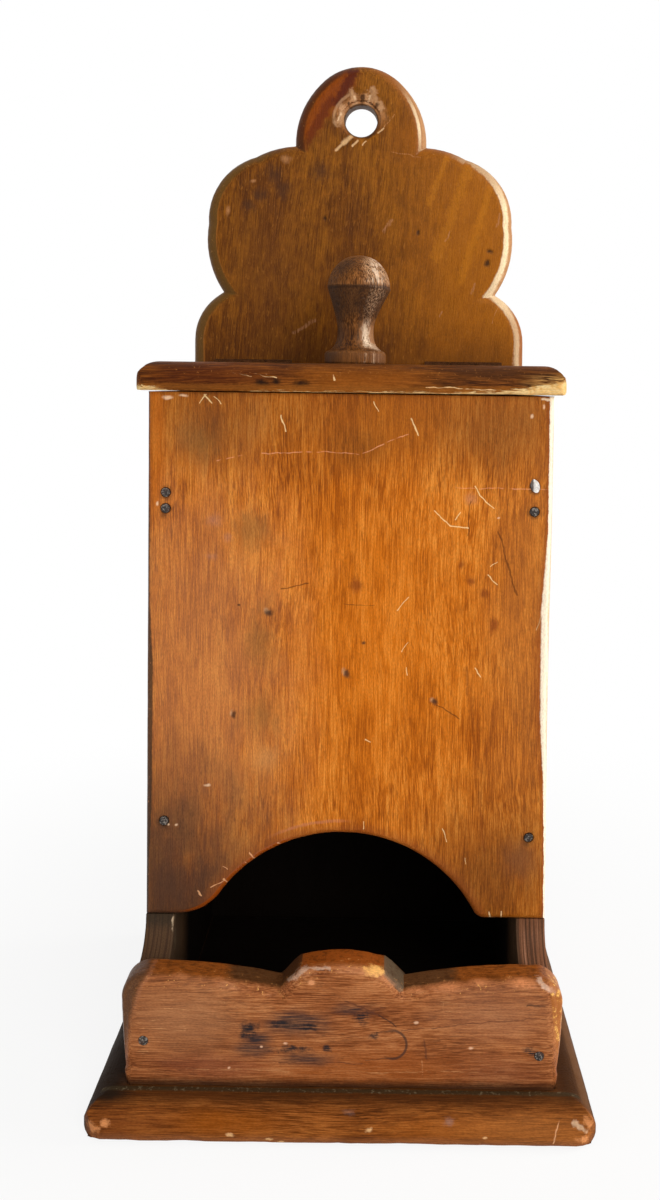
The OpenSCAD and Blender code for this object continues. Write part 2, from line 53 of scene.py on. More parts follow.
def make_camera():
    """A camera at the photograph's place, with only the shift that its framing needs."""
    ahead = Vector((math.sin(YAW) * math.cos(PITCH), math.cos(YAW) * math.cos(PITCH), -math.sin(PITCH)))
    level = Vector((math.cos(YAW), -math.sin(YAW), 0))
    above = level.cross(ahead)
    right = level * math.cos(ROLL) + above * math.sin(ROLL)
    up = above * math.cos(ROLL) - level * math.sin(ROLL)
    data = bpy.data.cameras.new("camera")
    data.sensor_width = SENSOR
    data.lens = FOCAL / FRAME_H * SENSOR
    data.shift_x = (FRAME_W / 2 - AXIS_X) / FRAME_H
    data.shift_y = (AXIS_Y - FRAME_H / 2) / FRAME_H
    data.clip_start, data.clip_end = NEAREST, FARTHEST
    camera = bpy.data.objects.new("camera", data)
    turned = Matrix((right, up, -ahead)).transposed().to_4x4()
    camera.matrix_world = Matrix.Translation(EYE) @ turned
    bpy.context.scene.collection.objects.link(camera)
    bpy.context.scene.camera = camera


# Boards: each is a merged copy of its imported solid, softened, ruled into a fine grid and worn.
MERGE = 0.002 * MM
ON_PLANE = 0.01 * MM
SLIVER = 0.1 * MM
STRIP = 0.1 * MM
FLAT = math.radians(0.3)
SHARP = math.radians(50)
CREASE = math.radians(32)
MARGIN = 0.001


def board_copy(node):
    """A copy of a packed board with its seams merged and its flat faces whole."""
    work = bmesh.new()
    work.from_mesh(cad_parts[node].data)
    bmesh.ops.remove_doubles(work, verts=work.verts, dist=MERGE)
    bmesh.ops.dissolve_limit(work, angle_limit=FLAT, verts=work.verts, edges=work.edges)
    bmesh.ops.dissolve_degenerate(work, dist=SLIVER, edges=work.edges)
    return work


def is_strip(face):
    """Whether a face is too narrow to give room to a softened edge, as in a nail's hole."""
    return face.calc_area() < STRIP * face.calc_perimeter()


def soften(work, width):
    """Takes the knife edge off every sharp arris between two broad faces."""
    sharp = [e for e in work.edges if e.is_manifold and e.calc_face_angle() > SHARP]
    sharp = [e for e in sharp if not any(is_strip(face) for face in e.link_faces)]
    bmesh.ops.bevel(
        work, geom=sharp, offset=width * MM, offset_type="OFFSET", segments=2, profile=0.5,
        affect="EDGES", material=-1, clamp_overlap=False,
    )


def breadth(face, axis):
    """How far a face reaches along one axis."""
    places = [v.co[axis] for v in face.verts]
    return max(places) - min(places)


def rule(work, step, low, high, axes=(0, 1, 2)):
    """Rules the faces between two corners. Those narrower than the step, as in a rounding, stay."""
    for axis in axes:
        faces = [
            f for f in work.faces
            if all(low[k] * MM <= c <= high[k] * MM for k, c in enumerate(f.calc_center_median()))
            and breadth(f, axis) > step * MM
        ]
        normal = [0, 0, 0]
        normal[axis] = 1
        for i in range(1, int((high[axis] - low[axis]) / step) + 1):
            place = [0, 0, 0]
            place[axis] = (low[axis] + i * step) * MM
            edges = {e for f in faces for e in f.edges}
            verts = {v for f in faces for v in f.verts}
            geom = faces + list(edges) + list(verts)
            made = bmesh.ops.bisect_plane(work, geom=geom, dist=ON_PLANE, plane_co=place, plane_no=normal)
            faces = [
                g for g in made["geom"]
                if isinstance(g, bmesh.types.BMFace) and g.calc_center_median()[axis] > place[axis]
            ]


def rule_all(work, step):
    """Rules the whole board."""
    spread = [[v.co[axis] / MM for v in work.verts] for axis in range(3)]
    rule(work, step, [min(s) - MARGIN for s in spread], [max(s) + MARGIN for s in spread])


def close_slivers(work):
    """Closes up the thin faces that ruling leaves where a plane runs along a curved edge."""
    bmesh.ops.dissolve_degenerate(work, dist=SLIVER, edges=work.edges)
    bmesh.ops.delete(work, geom=[e for e in work.edges if not e.link_faces], context="EDGES")
    bmesh.ops.delete(work, geom=[v for v in work.verts if not v.link_faces], context="VERTS")


def facing(vert):
    """The direction that a point faces, by the areas of the faces round it."""
    total = Vector()
    for face in vert.link_faces:
        total += face.normal * face.calc_area()
    return total.normalized()


def bumpy(point, size, seed):
    """Even noise from -1 to 1 with lumps of one size."""
    return noise.noise(point / (size * MM) + Vector((seed, 1.7 * seed, 2.3 * seed)))


def unit(value):
    """A value held between 0 and 1."""
    return min(1.0, max(0.0, value))


def near(gap, reach=1.0):
    """1 at a place, falling evenly to 0 at its reach."""
    return max(0.0, 1 - gap / reach)


# Arrises are rubbed in lumps of two sizes, and the faces wave a little.
RUB_LEAST, RUB_BROAD, RUB_FINE = 0.2, 0.9, 0.5
BROAD_SIZE, FINE_SIZE, WAVE_SIZE = 11, 4, 34
FINE_SEED, WAVE_SEED = 9, 20
WAVE_DEPTH = 0.12


def wear(work, across, depth, seed, dents=None):
    """Rubs the arrises and dents the faces, always inwards.

    Each point keeps how much of an arris it is and how far it faces sideways, for the finishes.
    """
    work.normal_update()
    arris = work.verts.layers.float.new("arris")
    aside = work.verts.layers.float.new("aside")
    moves = []
    for vert in work.verts:
        normal = facing(vert)
        lean = min(1.0, abs(normal[across]))
        edge = 2 * lean * math.sqrt(1 - lean * lean)
        vert[arris] = edge
        vert[aside] = normal.x
        rub = RUB_LEAST + RUB_BROAD * max(0.0, bumpy(vert.co, BROAD_SIZE, seed))
        rub += RUB_FINE * max(0.0, bumpy(vert.co, FINE_SIZE, seed + FINE_SEED))
        wave = 0.5 + 0.5 * bumpy(vert.co, WAVE_SIZE, seed + WAVE_SEED)
        sink = edge * depth * rub + WAVE_DEPTH * wave
        if dents:
            sink += dents(vert.co / MM, normal)
        moves.append((vert, normal * (sink * MM)))
    for vert, move in moves:
        vert.co -= move


def set_down(work, name, node, body, material):
    """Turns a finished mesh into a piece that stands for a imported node."""
    mesh = bpy.data.meshes.new(name)
    work.to_mesh(mesh)
    work.free()
    for face in mesh.polygons:
        face.use_smooth = True
    mesh.set_sharp_from_angle(angle=CREASE)
    mesh.materials.append(material)
    piece = bpy.data.objects.new(name, mesh)
    bpy.context.scene.collection.objects.link(piece)
    even = piece.modifiers.new("even_shading", "WEIGHTED_NORMAL")
    even.keep_sharp = True
    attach(piece, body)
    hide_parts(node)
    return piece


# Node groups that several finishes share.
def new_group(name, inputs, outputs):
    """An empty shader group with named sockets, and its two ends."""
    tree = bpy.data.node_groups.new(name, "ShaderNodeTree")
    for label, kind in inputs:
        tree.interface.new_socket(name=label, in_out="INPUT", socket_type=kind)
    for label, kind in outputs:
        tree.interface.new_socket(name=label, in_out="OUTPUT", socket_type=kind)
    return tree, tree.nodes.new("NodeGroupInput"), tree.nodes.new("NodeGroupOutput")


def add(tree, kind, inputs=None, **settings):
    """One node, set up and joined to what feeds it."""
    node = tree.nodes.new(kind)
    for key, value in settings.items():
        setattr(node, key, value)
    for key, value in (inputs or {}).items():
        if isinstance(value, bpy.types.NodeSocket):
            tree.links.new(value, node.inputs[key])
        else:
            node.inputs[key].default_value = value
    return node


def sum_of(tree, how, first, second, third=None):
    """One sum on two or three values."""
    inputs = {0: first, 1: second}
    if third is not None:
        inputs[2] = third
    return add(tree, "ShaderNodeMath", inputs, operation=how).outputs[0]


def sum_of_vectors(tree, how, first, second):
    """One sum on two vectors."""
    return add(tree, "ShaderNodeVectorMath", {0: first, 1: second}, operation=how)


def fade(tree, value, low, high, start=0.0, end=1.0):
    """A smooth step from start to end as a value goes from low to high."""
    inputs = {"Value": value, "From Min": low, "From Max": high, "To Min": start, "To Max": end}
    return add(tree, "ShaderNodeMapRange", inputs, interpolation_type="SMOOTHSTEP", clamp=False).outputs[0]


def speckle(tree, point, size, detail=2.0, roughness=0.5):
    """Noise whose lumps have one size along each axis, in the point's own units."""
    inverse = tuple(1 / s for s in size)
    scaled = sum_of_vectors(tree, "MULTIPLY", point, inverse).outputs[0]
    inputs = {"Vector": scaled, "Scale": 1.0, "Detail": detail, "Roughness": roughness}
    return add(tree, "ShaderNodeTexNoise", inputs).outputs["Fac"]


def make_wood_grain():
    """Old softwood with its grain along Z: fine fibres, broader streaks, short pores and soft clouds."""
    names = [(label, "NodeSocketFloat") for label in ("Fibre", "Streak", "Pore", "Cloud")]
    tree, start, end = new_group("wood_grain", [("Point", "NodeSocketVector")], names)
    sway = speckle(tree, start.outputs["Point"], (36, 36, 110), 1.0)
    sway = sum_of(tree, "MULTIPLY_ADD", sway, 8.0, -4.0)
    shift = add(tree, "ShaderNodeCombineXYZ", {0: sway, 1: sway}).outputs[0]
    point = sum_of_vectors(tree, "ADD", start.outputs["Point"], shift).outputs[0]
    fibre = fade(tree, speckle(tree, point, (0.34, 0.34, 11), 2.0, 0.55), 0.32, 0.68)
    streak = fade(tree, speckle(tree, point, (2.0, 2.0, 60), 2.0, 0.5), 0.3, 0.7)
    clump = fade(tree, speckle(tree, point, (8, 8, 18), 2.0), 0.42, 0.62)
    short = fade(tree, speckle(tree, point, (0.45, 0.45, 5), 1.0), 0.54, 0.68)
    cloud = fade(tree, speckle(tree, point, (22, 22, 48), 4.0, 0.6), 0.3, 0.7)
    tree.links.new(fibre, end.inputs["Fibre"])
    tree.links.new(streak, end.inputs["Streak"])
    tree.links.new(sum_of(tree, "MULTIPLY", short, clump), end.inputs["Pore"])
    tree.links.new(cloud, end.inputs["Cloud"])
    return tree


def make_stroke():
    """A scratch, crack or worn line between two points."""
    sockets = [(label, "NodeSocketVector") for label in ("Point", "From", "To")]
    sockets += [("Width", "NodeSocketFloat"), ("Fray", "NodeSocketFloat")]
    tree, start, end = new_group("stroke", sockets, [("Mask", "NodeSocketFloat")])
    away = sum_of_vectors(tree, "SUBTRACT", start.outputs["Point"], start.outputs["From"]).outputs[0]
    run = sum_of_vectors(tree, "SUBTRACT", start.outputs["To"], start.outputs["From"]).outputs[0]
    along = sum_of_vectors(tree, "DOT_PRODUCT", away, run).outputs["Value"]
    whole = sum_of_vectors(tree, "DOT_PRODUCT", run, run).outputs["Value"]
    share = add(tree, "ShaderNodeClamp", {"Value": sum_of(tree, "DIVIDE", along, whole)}).outputs[0]
    reach = add(tree, "ShaderNodeVectorMath", {0: run, "Scale": share}, operation="SCALE").outputs[0]
    gap = sum_of_vectors(tree, "DISTANCE", away, reach).outputs["Value"]
    frayed = sum_of(tree, "MULTIPLY_ADD", start.outputs["Fray"], start.outputs["Width"], gap)
    part = sum_of(tree, "DIVIDE", frayed, start.outputs["Width"])
    tree.links.new(fade(tree, part, 0.12, 0.42, 1.0, 0.0), end.inputs["Mask"])
    return tree


def make_spot():
    """A stain, knot or rubbed patch with its own reach along each axis."""
    sockets = [(label, "NodeSocketVector") for label in ("Point", "Centre", "Reach")]
    sockets += [("Core", "NodeSocketFloat"), ("Fray", "NodeSocketFloat")]
    tree, start, end = new_group("spot", sockets, [("Mask", "NodeSocketFloat")])
    away = sum_of_vectors(tree, "SUBTRACT", start.outputs["Point"], start.outputs["Centre"]).outputs[0]
    scaled = sum_of_vectors(tree, "DIVIDE", away, start.outputs["Reach"]).outputs[0]
    gap = add(tree, "ShaderNodeVectorMath", {0: scaled}, operation="LENGTH").outputs["Value"]
    frayed = sum_of(tree, "ADD", gap, start.outputs["Fray"])
    tree.links.new(fade(tree, frayed, start.outputs["Core"], 1.0, 1.0, 0.0), end.inputs["Mask"])
    return tree


def make_edge_wear():
    """Where an arris has lost its varnish: broad rubbing broken up by fine noise, and small flecks."""
    sockets = [("Point", "NodeSocketVector"), ("Arris", "NodeSocketFloat")]
    masks = [("Mask", "NodeSocketFloat"), ("Fleck", "NodeSocketFloat")]
    tree, start, end = new_group("edge_wear", sockets, masks)
    point = start.outputs["Point"]
    broad = speckle(tree, point, (14, 14, 14), 3.0, 0.6)
    fine = speckle(tree, point, (2.2, 2.2, 2.2), 4.0, 0.7)
    rough = sum_of(tree, "ADD", sum_of(tree, "MULTIPLY", broad, 0.6), sum_of(tree, "MULTIPLY", fine, 0.4))
    edge = fade(tree, start.outputs["Arris"], 0.25, 0.85)
    tree.links.new(sum_of(tree, "MULTIPLY", edge, fade(tree, rough, 0.58, 0.74)), end.inputs["Mask"])
    fleck = fade(tree, speckle(tree, point, (1.3, 1.3, 1.3), 3.0, 0.7), 0.62, 0.72)
    tree.links.new(sum_of(tree, "MULTIPLY", edge, fleck), end.inputs["Fleck"])
    return tree


WOOD_GRAIN = make_wood_grain()
STROKE = make_stroke()
SPOT = make_spot()
EDGE_WEAR = make_edge_wear()

# Grain directions: upright boards, the back board's leaning grain, and boards with the grain sideways.
UPRIGHT = (0, 0, 0)
LEANING = (0, math.radians(-5), 0)
LENGTHWAYS = (0, math.radians(90), 0)

# How much of a distance counts along each axis for a stroke, so that it also lies in the dents of its face.
SQUASH = (1, 0.25, 1)

# Every finish: the lumps of its noises, how far marks stray, and the shares of the grain in its colour.
TO_MM = (1000, 1000, 1000)
FRAY_SIZE, DRIFT_SIZE = (2.6, 2.6, 2.6), (11, 11, 22)
STRAY_PITCH, STRAY_REACH = (0.16, 0.16, 0.16), (2.4, 2.4, 2.4)
FIBRE_SHARE, STREAK_SHARE, CLOUD_SHARE = 0.45, 0.2, 0.35
TONE_PLACES = (0.2, 0.5, 0.8)
FIBRE_RISE, PORE_RISE = 0.4, -0.8
PORE_ROUGH, CLOUD_ROUGH = 0.2, 0.12
GLEAM_ROUGH, GLEAM_SHINE = -0.16, 0.4
GRIT_SIZE, GRIT_TONE, GRIT_STRENGTH = (0.32, 0.32, 1.2), (26, 12, 4), 0.2


def stain(red, green, blue):
    """A colour named by its screen values, as the shader takes it."""
    shares = [c / 255 for c in (red, green, blue)]
    linear = [c / 12.92 if c <= 0.04045 else ((c + 0.055) / 1.055) ** 2.4 for c in shares]
    return (*linear, 1.0)


class Finish:
    """A wood finish that is built up in layers, as stain, shellac, dirt and wear are, with painted light and
    shade laid among them.
    """

    def __init__(self, name, grain, seed, tones):
        """Starts from bare grain coloured by three tones from dark to light."""
        self.material = bpy.data.materials.new(name)
        self.material.use_nodes = True
        self.tree = self.material.node_tree
        self.tree.nodes.clear()
        place = self.add("ShaderNodeTexCoord").outputs["Object"]
        self.point = self.add("ShaderNodeMapping", {"Vector": place, "Scale": TO_MM}).outputs[0]
        shifted = {"Vector": self.point, "Rotation": grain, "Location": (seed, 3 * seed, 7 * seed)}
        self.along = self.add("ShaderNodeMapping", shifted).outputs[0]
        figure = self.group(WOOD_GRAIN, {"Point": self.along}).outputs
        self.fibre, self.streak, self.pore, self.cloud = figure
        self.x, self.y, self.z = self.add("ShaderNodeSeparateXYZ", {0: self.point}).outputs
        self.arris = self.add("ShaderNodeAttribute", attribute_name="arris").outputs["Fac"]
        self.aside = self.add("ShaderNodeAttribute", attribute_name="aside").outputs["Fac"]
        ragged = self.speckle(FRAY_SIZE, 3.0, 0.7)
        self.fray = self.sum("MULTIPLY_ADD", ragged, 2.0, -1.0)
        drifting = self.speckle(DRIFT_SIZE, 5.0, 0.65, self.along)
        self.drift = self.sum("MULTIPLY_ADD", drifting, 3.0, -1.5)
        slow = self.vector("MULTIPLY", self.point, STRAY_PITCH)
        turn = self.add("ShaderNodeTexNoise", {"Vector": slow, "Scale": 1.0, "Detail": 2.0}).outputs["Color"]
        swing = self.vector("SUBTRACT", turn, (0.5, 0.5, 0.5))
        swing = self.vector("MULTIPLY", swing, STRAY_REACH)
        self.wander = self.vector("ADD", self.point, swing)
        self.flat = self.vector("MULTIPLY", self.wander, SQUASH)
        blend = self.sum("MULTIPLY", self.streak, STREAK_SHARE)
        blend = self.sum("MULTIPLY_ADD", self.fibre, FIBRE_SHARE, blend)
        blend = self.sum("MULTIPLY_ADD", self.cloud, CLOUD_SHARE, blend)
        self.colour = self.shades(blend, tones)
        raised = self.sum("MULTIPLY", self.fibre, FIBRE_RISE)
        self.height = self.sum("MULTIPLY_ADD", self.pore, PORE_RISE, raised)
        self.gleam = None

    def add(self, kind, inputs=None, **settings):
        """One node of this finish."""
        return add(self.tree, kind, inputs, **settings)

    def group(self, tree, inputs):
        """One use of a shared node group."""
        return self.add("ShaderNodeGroup", inputs, node_tree=tree)

    def sum(self, how, first, second, third=None):
        """One sum on two or three values."""
        return sum_of(self.tree, how, first, second, third)

    def vector(self, how, first, second):
        """One sum on two vectors."""
        return sum_of_vectors(self.tree, how, first, second).outputs[0]

    def fade(self, value, low, high, start=0.0, end=1.0):
        """A smooth step from start to end as a value goes from low to high."""
        return fade(self.tree, value, low, high, start, end)

    def speckle(self, size, detail=2.0, roughness=0.5, point=None):
        """Noise with lumps of one size, in place or at another point, such as along the grain."""
        return speckle(self.tree, self.point if point is None else point, size, detail, roughness)

    def both(self, *masks):
        """Where every one of the masks is."""
        joined = masks[0]
        for mask in masks[1:]:
            joined = self.sum("MULTIPLY", joined, mask)
        return joined

    def either(self, masks):
        """Where any of the masks is, joined one by one as they are made."""
        joined = None
        for mask in masks:
            joined = mask if joined is None else self.sum("MAXIMUM", joined, mask)
        return joined

    def size(self, value):
        """A value without its sign."""
        return self.sum("ABSOLUTE", value, 0.0)

    def band(self, value, middle, outer, inner):
        """A band about the middle of a value, full within the inner half width and gone at the outer one."""
        return self.fade(self.size(self.sum("SUBTRACT", value, middle)), outer, inner)

    def rough(self, value, by, amount):
        """A value shaken by a noise, so that the edge of what it draws is ragged."""
        return self.sum("MULTIPLY_ADD", by, amount, value)

    def ramp(self, value, stops):
        """Colours along a value from 0 to 1."""
        node = self.add("ShaderNodeValToRGB", {0: value})
        made = node.color_ramp.elements
        made[0].position, made[0].color = stops[0]
        made[1].position, made[1].color = stops[-1]
        for place, colour in stops[1:-1]:
            made.new(place).color = colour
        return node.outputs["Color"]

    def shades(self, value, tones):
        """Colours from dark to light along a value."""
        return self.ramp(value, [(place, stain(*tone)) for place, tone in zip(TONE_PLACES, tones)])

    def graph(self, value, stops, most):
        """A length that changes along a value, read off between stops that run upwards."""
        low, high = stops[0][0], stops[-1][0]
        share = self.add("ShaderNodeMapRange", {"Value": value, "From Min": low, "From Max": high}).outputs[0]
        greys = [((place - low) / (high - low), (*[size / most] * 3, 1)) for place, size in stops]
        grey = self.add("ShaderNodeSeparateColor", {0: self.ramp(share, greys)}).outputs[0]
        return self.sum("MULTIPLY", grey, most)

    def layer(self, mask, tone, strength=1.0):
        """Lays a colour over the rest where a mask says."""
        if strength != 1.0:
            mask = self.sum("MULTIPLY", mask, strength)
        inputs = {0: mask, 6: self.colour, 7: stain(*tone)}
        self.colour = self.add("ShaderNodeMix", inputs, data_type="RGBA").outputs[2]

    def away(self, x, z):
        """Distance on an upright face from one place."""
        flat = self.add("ShaderNodeCombineXYZ", {0: self.x, 2: self.z}).outputs[0]
        return sum_of_vectors(self.tree, "DISTANCE", flat, (x, 0, z)).outputs["Value"]

    def patch(self, centre, reach, core, fray):
        """A large soft patch that follows the grain, for stains and for painted light and shade."""
        frayed = self.sum("MULTIPLY", self.drift, fray)
        made = {"Point": self.point, "Centre": centre, "Reach": reach, "Core": core, "Fray": frayed}
        return self.group(SPOT, made).outputs["Mask"]

    def spot(self, centre, reach, core, fray):
        """A small mark with a ragged edge."""
        frayed = self.sum("MULTIPLY", self.fray, fray)
        made = {"Point": self.wander, "Centre": centre, "Reach": reach, "Core": core, "Fray": frayed}
        return self.group(SPOT, made).outputs["Mask"]

    def stroke(self, start, end, width, fray=0.25):
        """A line of one width between two places, with a frayed edge."""
        frayed = self.sum("MULTIPLY", self.fray, fray)
        start, end = ([a * b for a, b in zip(place, SQUASH)] for place in (start, end))
        made = {"Point": self.flat, "From": start, "To": end, "Width": width, "Fray": frayed}
        return self.group(STROKE, made).outputs["Mask"]

    def strokes(self, face, marks, fray=0.25):
        """Several scratches on one upright face, each as its two ends and its width."""
        return self.either(self.stroke((a, face, b), (c, face, d), w, fray) for a, b, c, d, w in marks)

    def spots(self, face, marks, core, fray, deep=4):
        """Several spots on one upright face, each as its middle and its reach."""
        return self.either(self.spot((a, face, b), (w, deep, h), core, fray) for a, b, w, h in marks)

    def patches(self, face, marks, core, fray, deep):
        """Several soft stains of one tone on one upright face, each as its middle and its reach."""
        return self.either(self.patch((a, face, b), (w, deep, h), core, fray) for a, b, w, h in marks)

    def stains(self, face, deep, rows):
        """Soft stains on one upright face, and on the panel painted light and shade, each as its middle,
        reach, core, fray, tone and strength.
        """
        for x, z, wide, tall, core, fray, tone, strength in rows:
            self.layer(self.patch((x, face, z), (wide, deep, tall), core, fray), tone, strength)

    def worn(self):
        """The masks of bare wood and of flecks along the arrises."""
        return self.group(EDGE_WEAR, {"Point": self.point, "Arris": self.arris}).outputs

    def press(self, mask, depth):
        """Adds to the height, up or down, where a mask is."""
        self.height = self.sum("MULTIPLY_ADD", mask, depth, self.height)

    def polish(self, mask):
        """Makes the surface smoother and brighter where a mask is."""
        self.gleam = mask if self.gleam is None else self.sum("MAXIMUM", self.gleam, mask)

    def seal(self, gloss, relief=0.1, shine=0.08):
        """Closes the finish: fine grit in the grain, roughness from grain and dirt, and a fine relief."""
        grit = self.fade(self.speckle(GRIT_SIZE, 1.0, point=self.along), 0.38, 0.66)
        self.layer(grit, GRIT_TONE, GRIT_STRENGTH)
        rough = self.sum("MULTIPLY_ADD", self.cloud, CLOUD_ROUGH, gloss)
        rough = self.sum("MULTIPLY_ADD", self.pore, PORE_ROUGH, rough)
        if self.gleam is not None:
            rough = self.sum("MULTIPLY_ADD", self.gleam, GLEAM_ROUGH, rough)
            shine = self.sum("MULTIPLY_ADD", self.gleam, GLEAM_SHINE, shine)
        bump = {"Height": self.height, "Strength": 1.0, "Distance": relief * MM}
        normal = self.add("ShaderNodeBump", bump).outputs["Normal"]
        surface = {"Base Color": self.colour, "Roughness": rough, "Normal": normal}
        surface["Specular IOR Level"] = shine
        return self.close(surface)

    def close(self, surface):
        """Joins the surface to the material's output."""
        shader = self.add("ShaderNodeBsdfPrincipled", surface).outputs[0]
        self.tree.links.new(shader, self.add("ShaderNodeOutputMaterial").inputs["Surface"])
        return self.material


# Tones of the painted shade inside the box, and of bare wood, which down the panel's right arris is also a
# painted highlight.
INSIDE_SHADE = (15, 10, 7)
CREAM = (255, 238, 212)

# Front faces of the boards as Y, and how far back the marks lie that sit on their rounded edges.
PANEL_FACE, BACK_FACE = -36, 66
TROUGH_FACE, TROUGH_LIP, TROUGH_ROLL = -66, -65, -64
BASE_FACE, BASE_LIP, BASE_ROLL = -78, -77, -76
LID_FACE, LID_LIP, LID_ROLL = -40, -38, -36

# Edges of the panel and the trough as X, the middle of the arch, and the hanging hole.
PANEL_LEFT, PANEL_RIGHT, TROUGH_HALF = -82.5, 82.6, 86.4
ARCH_X, ARCH_Z = -1.5, 40
HANG_X, HANG_Z, HANG_R = 0.0, 417.5, 8


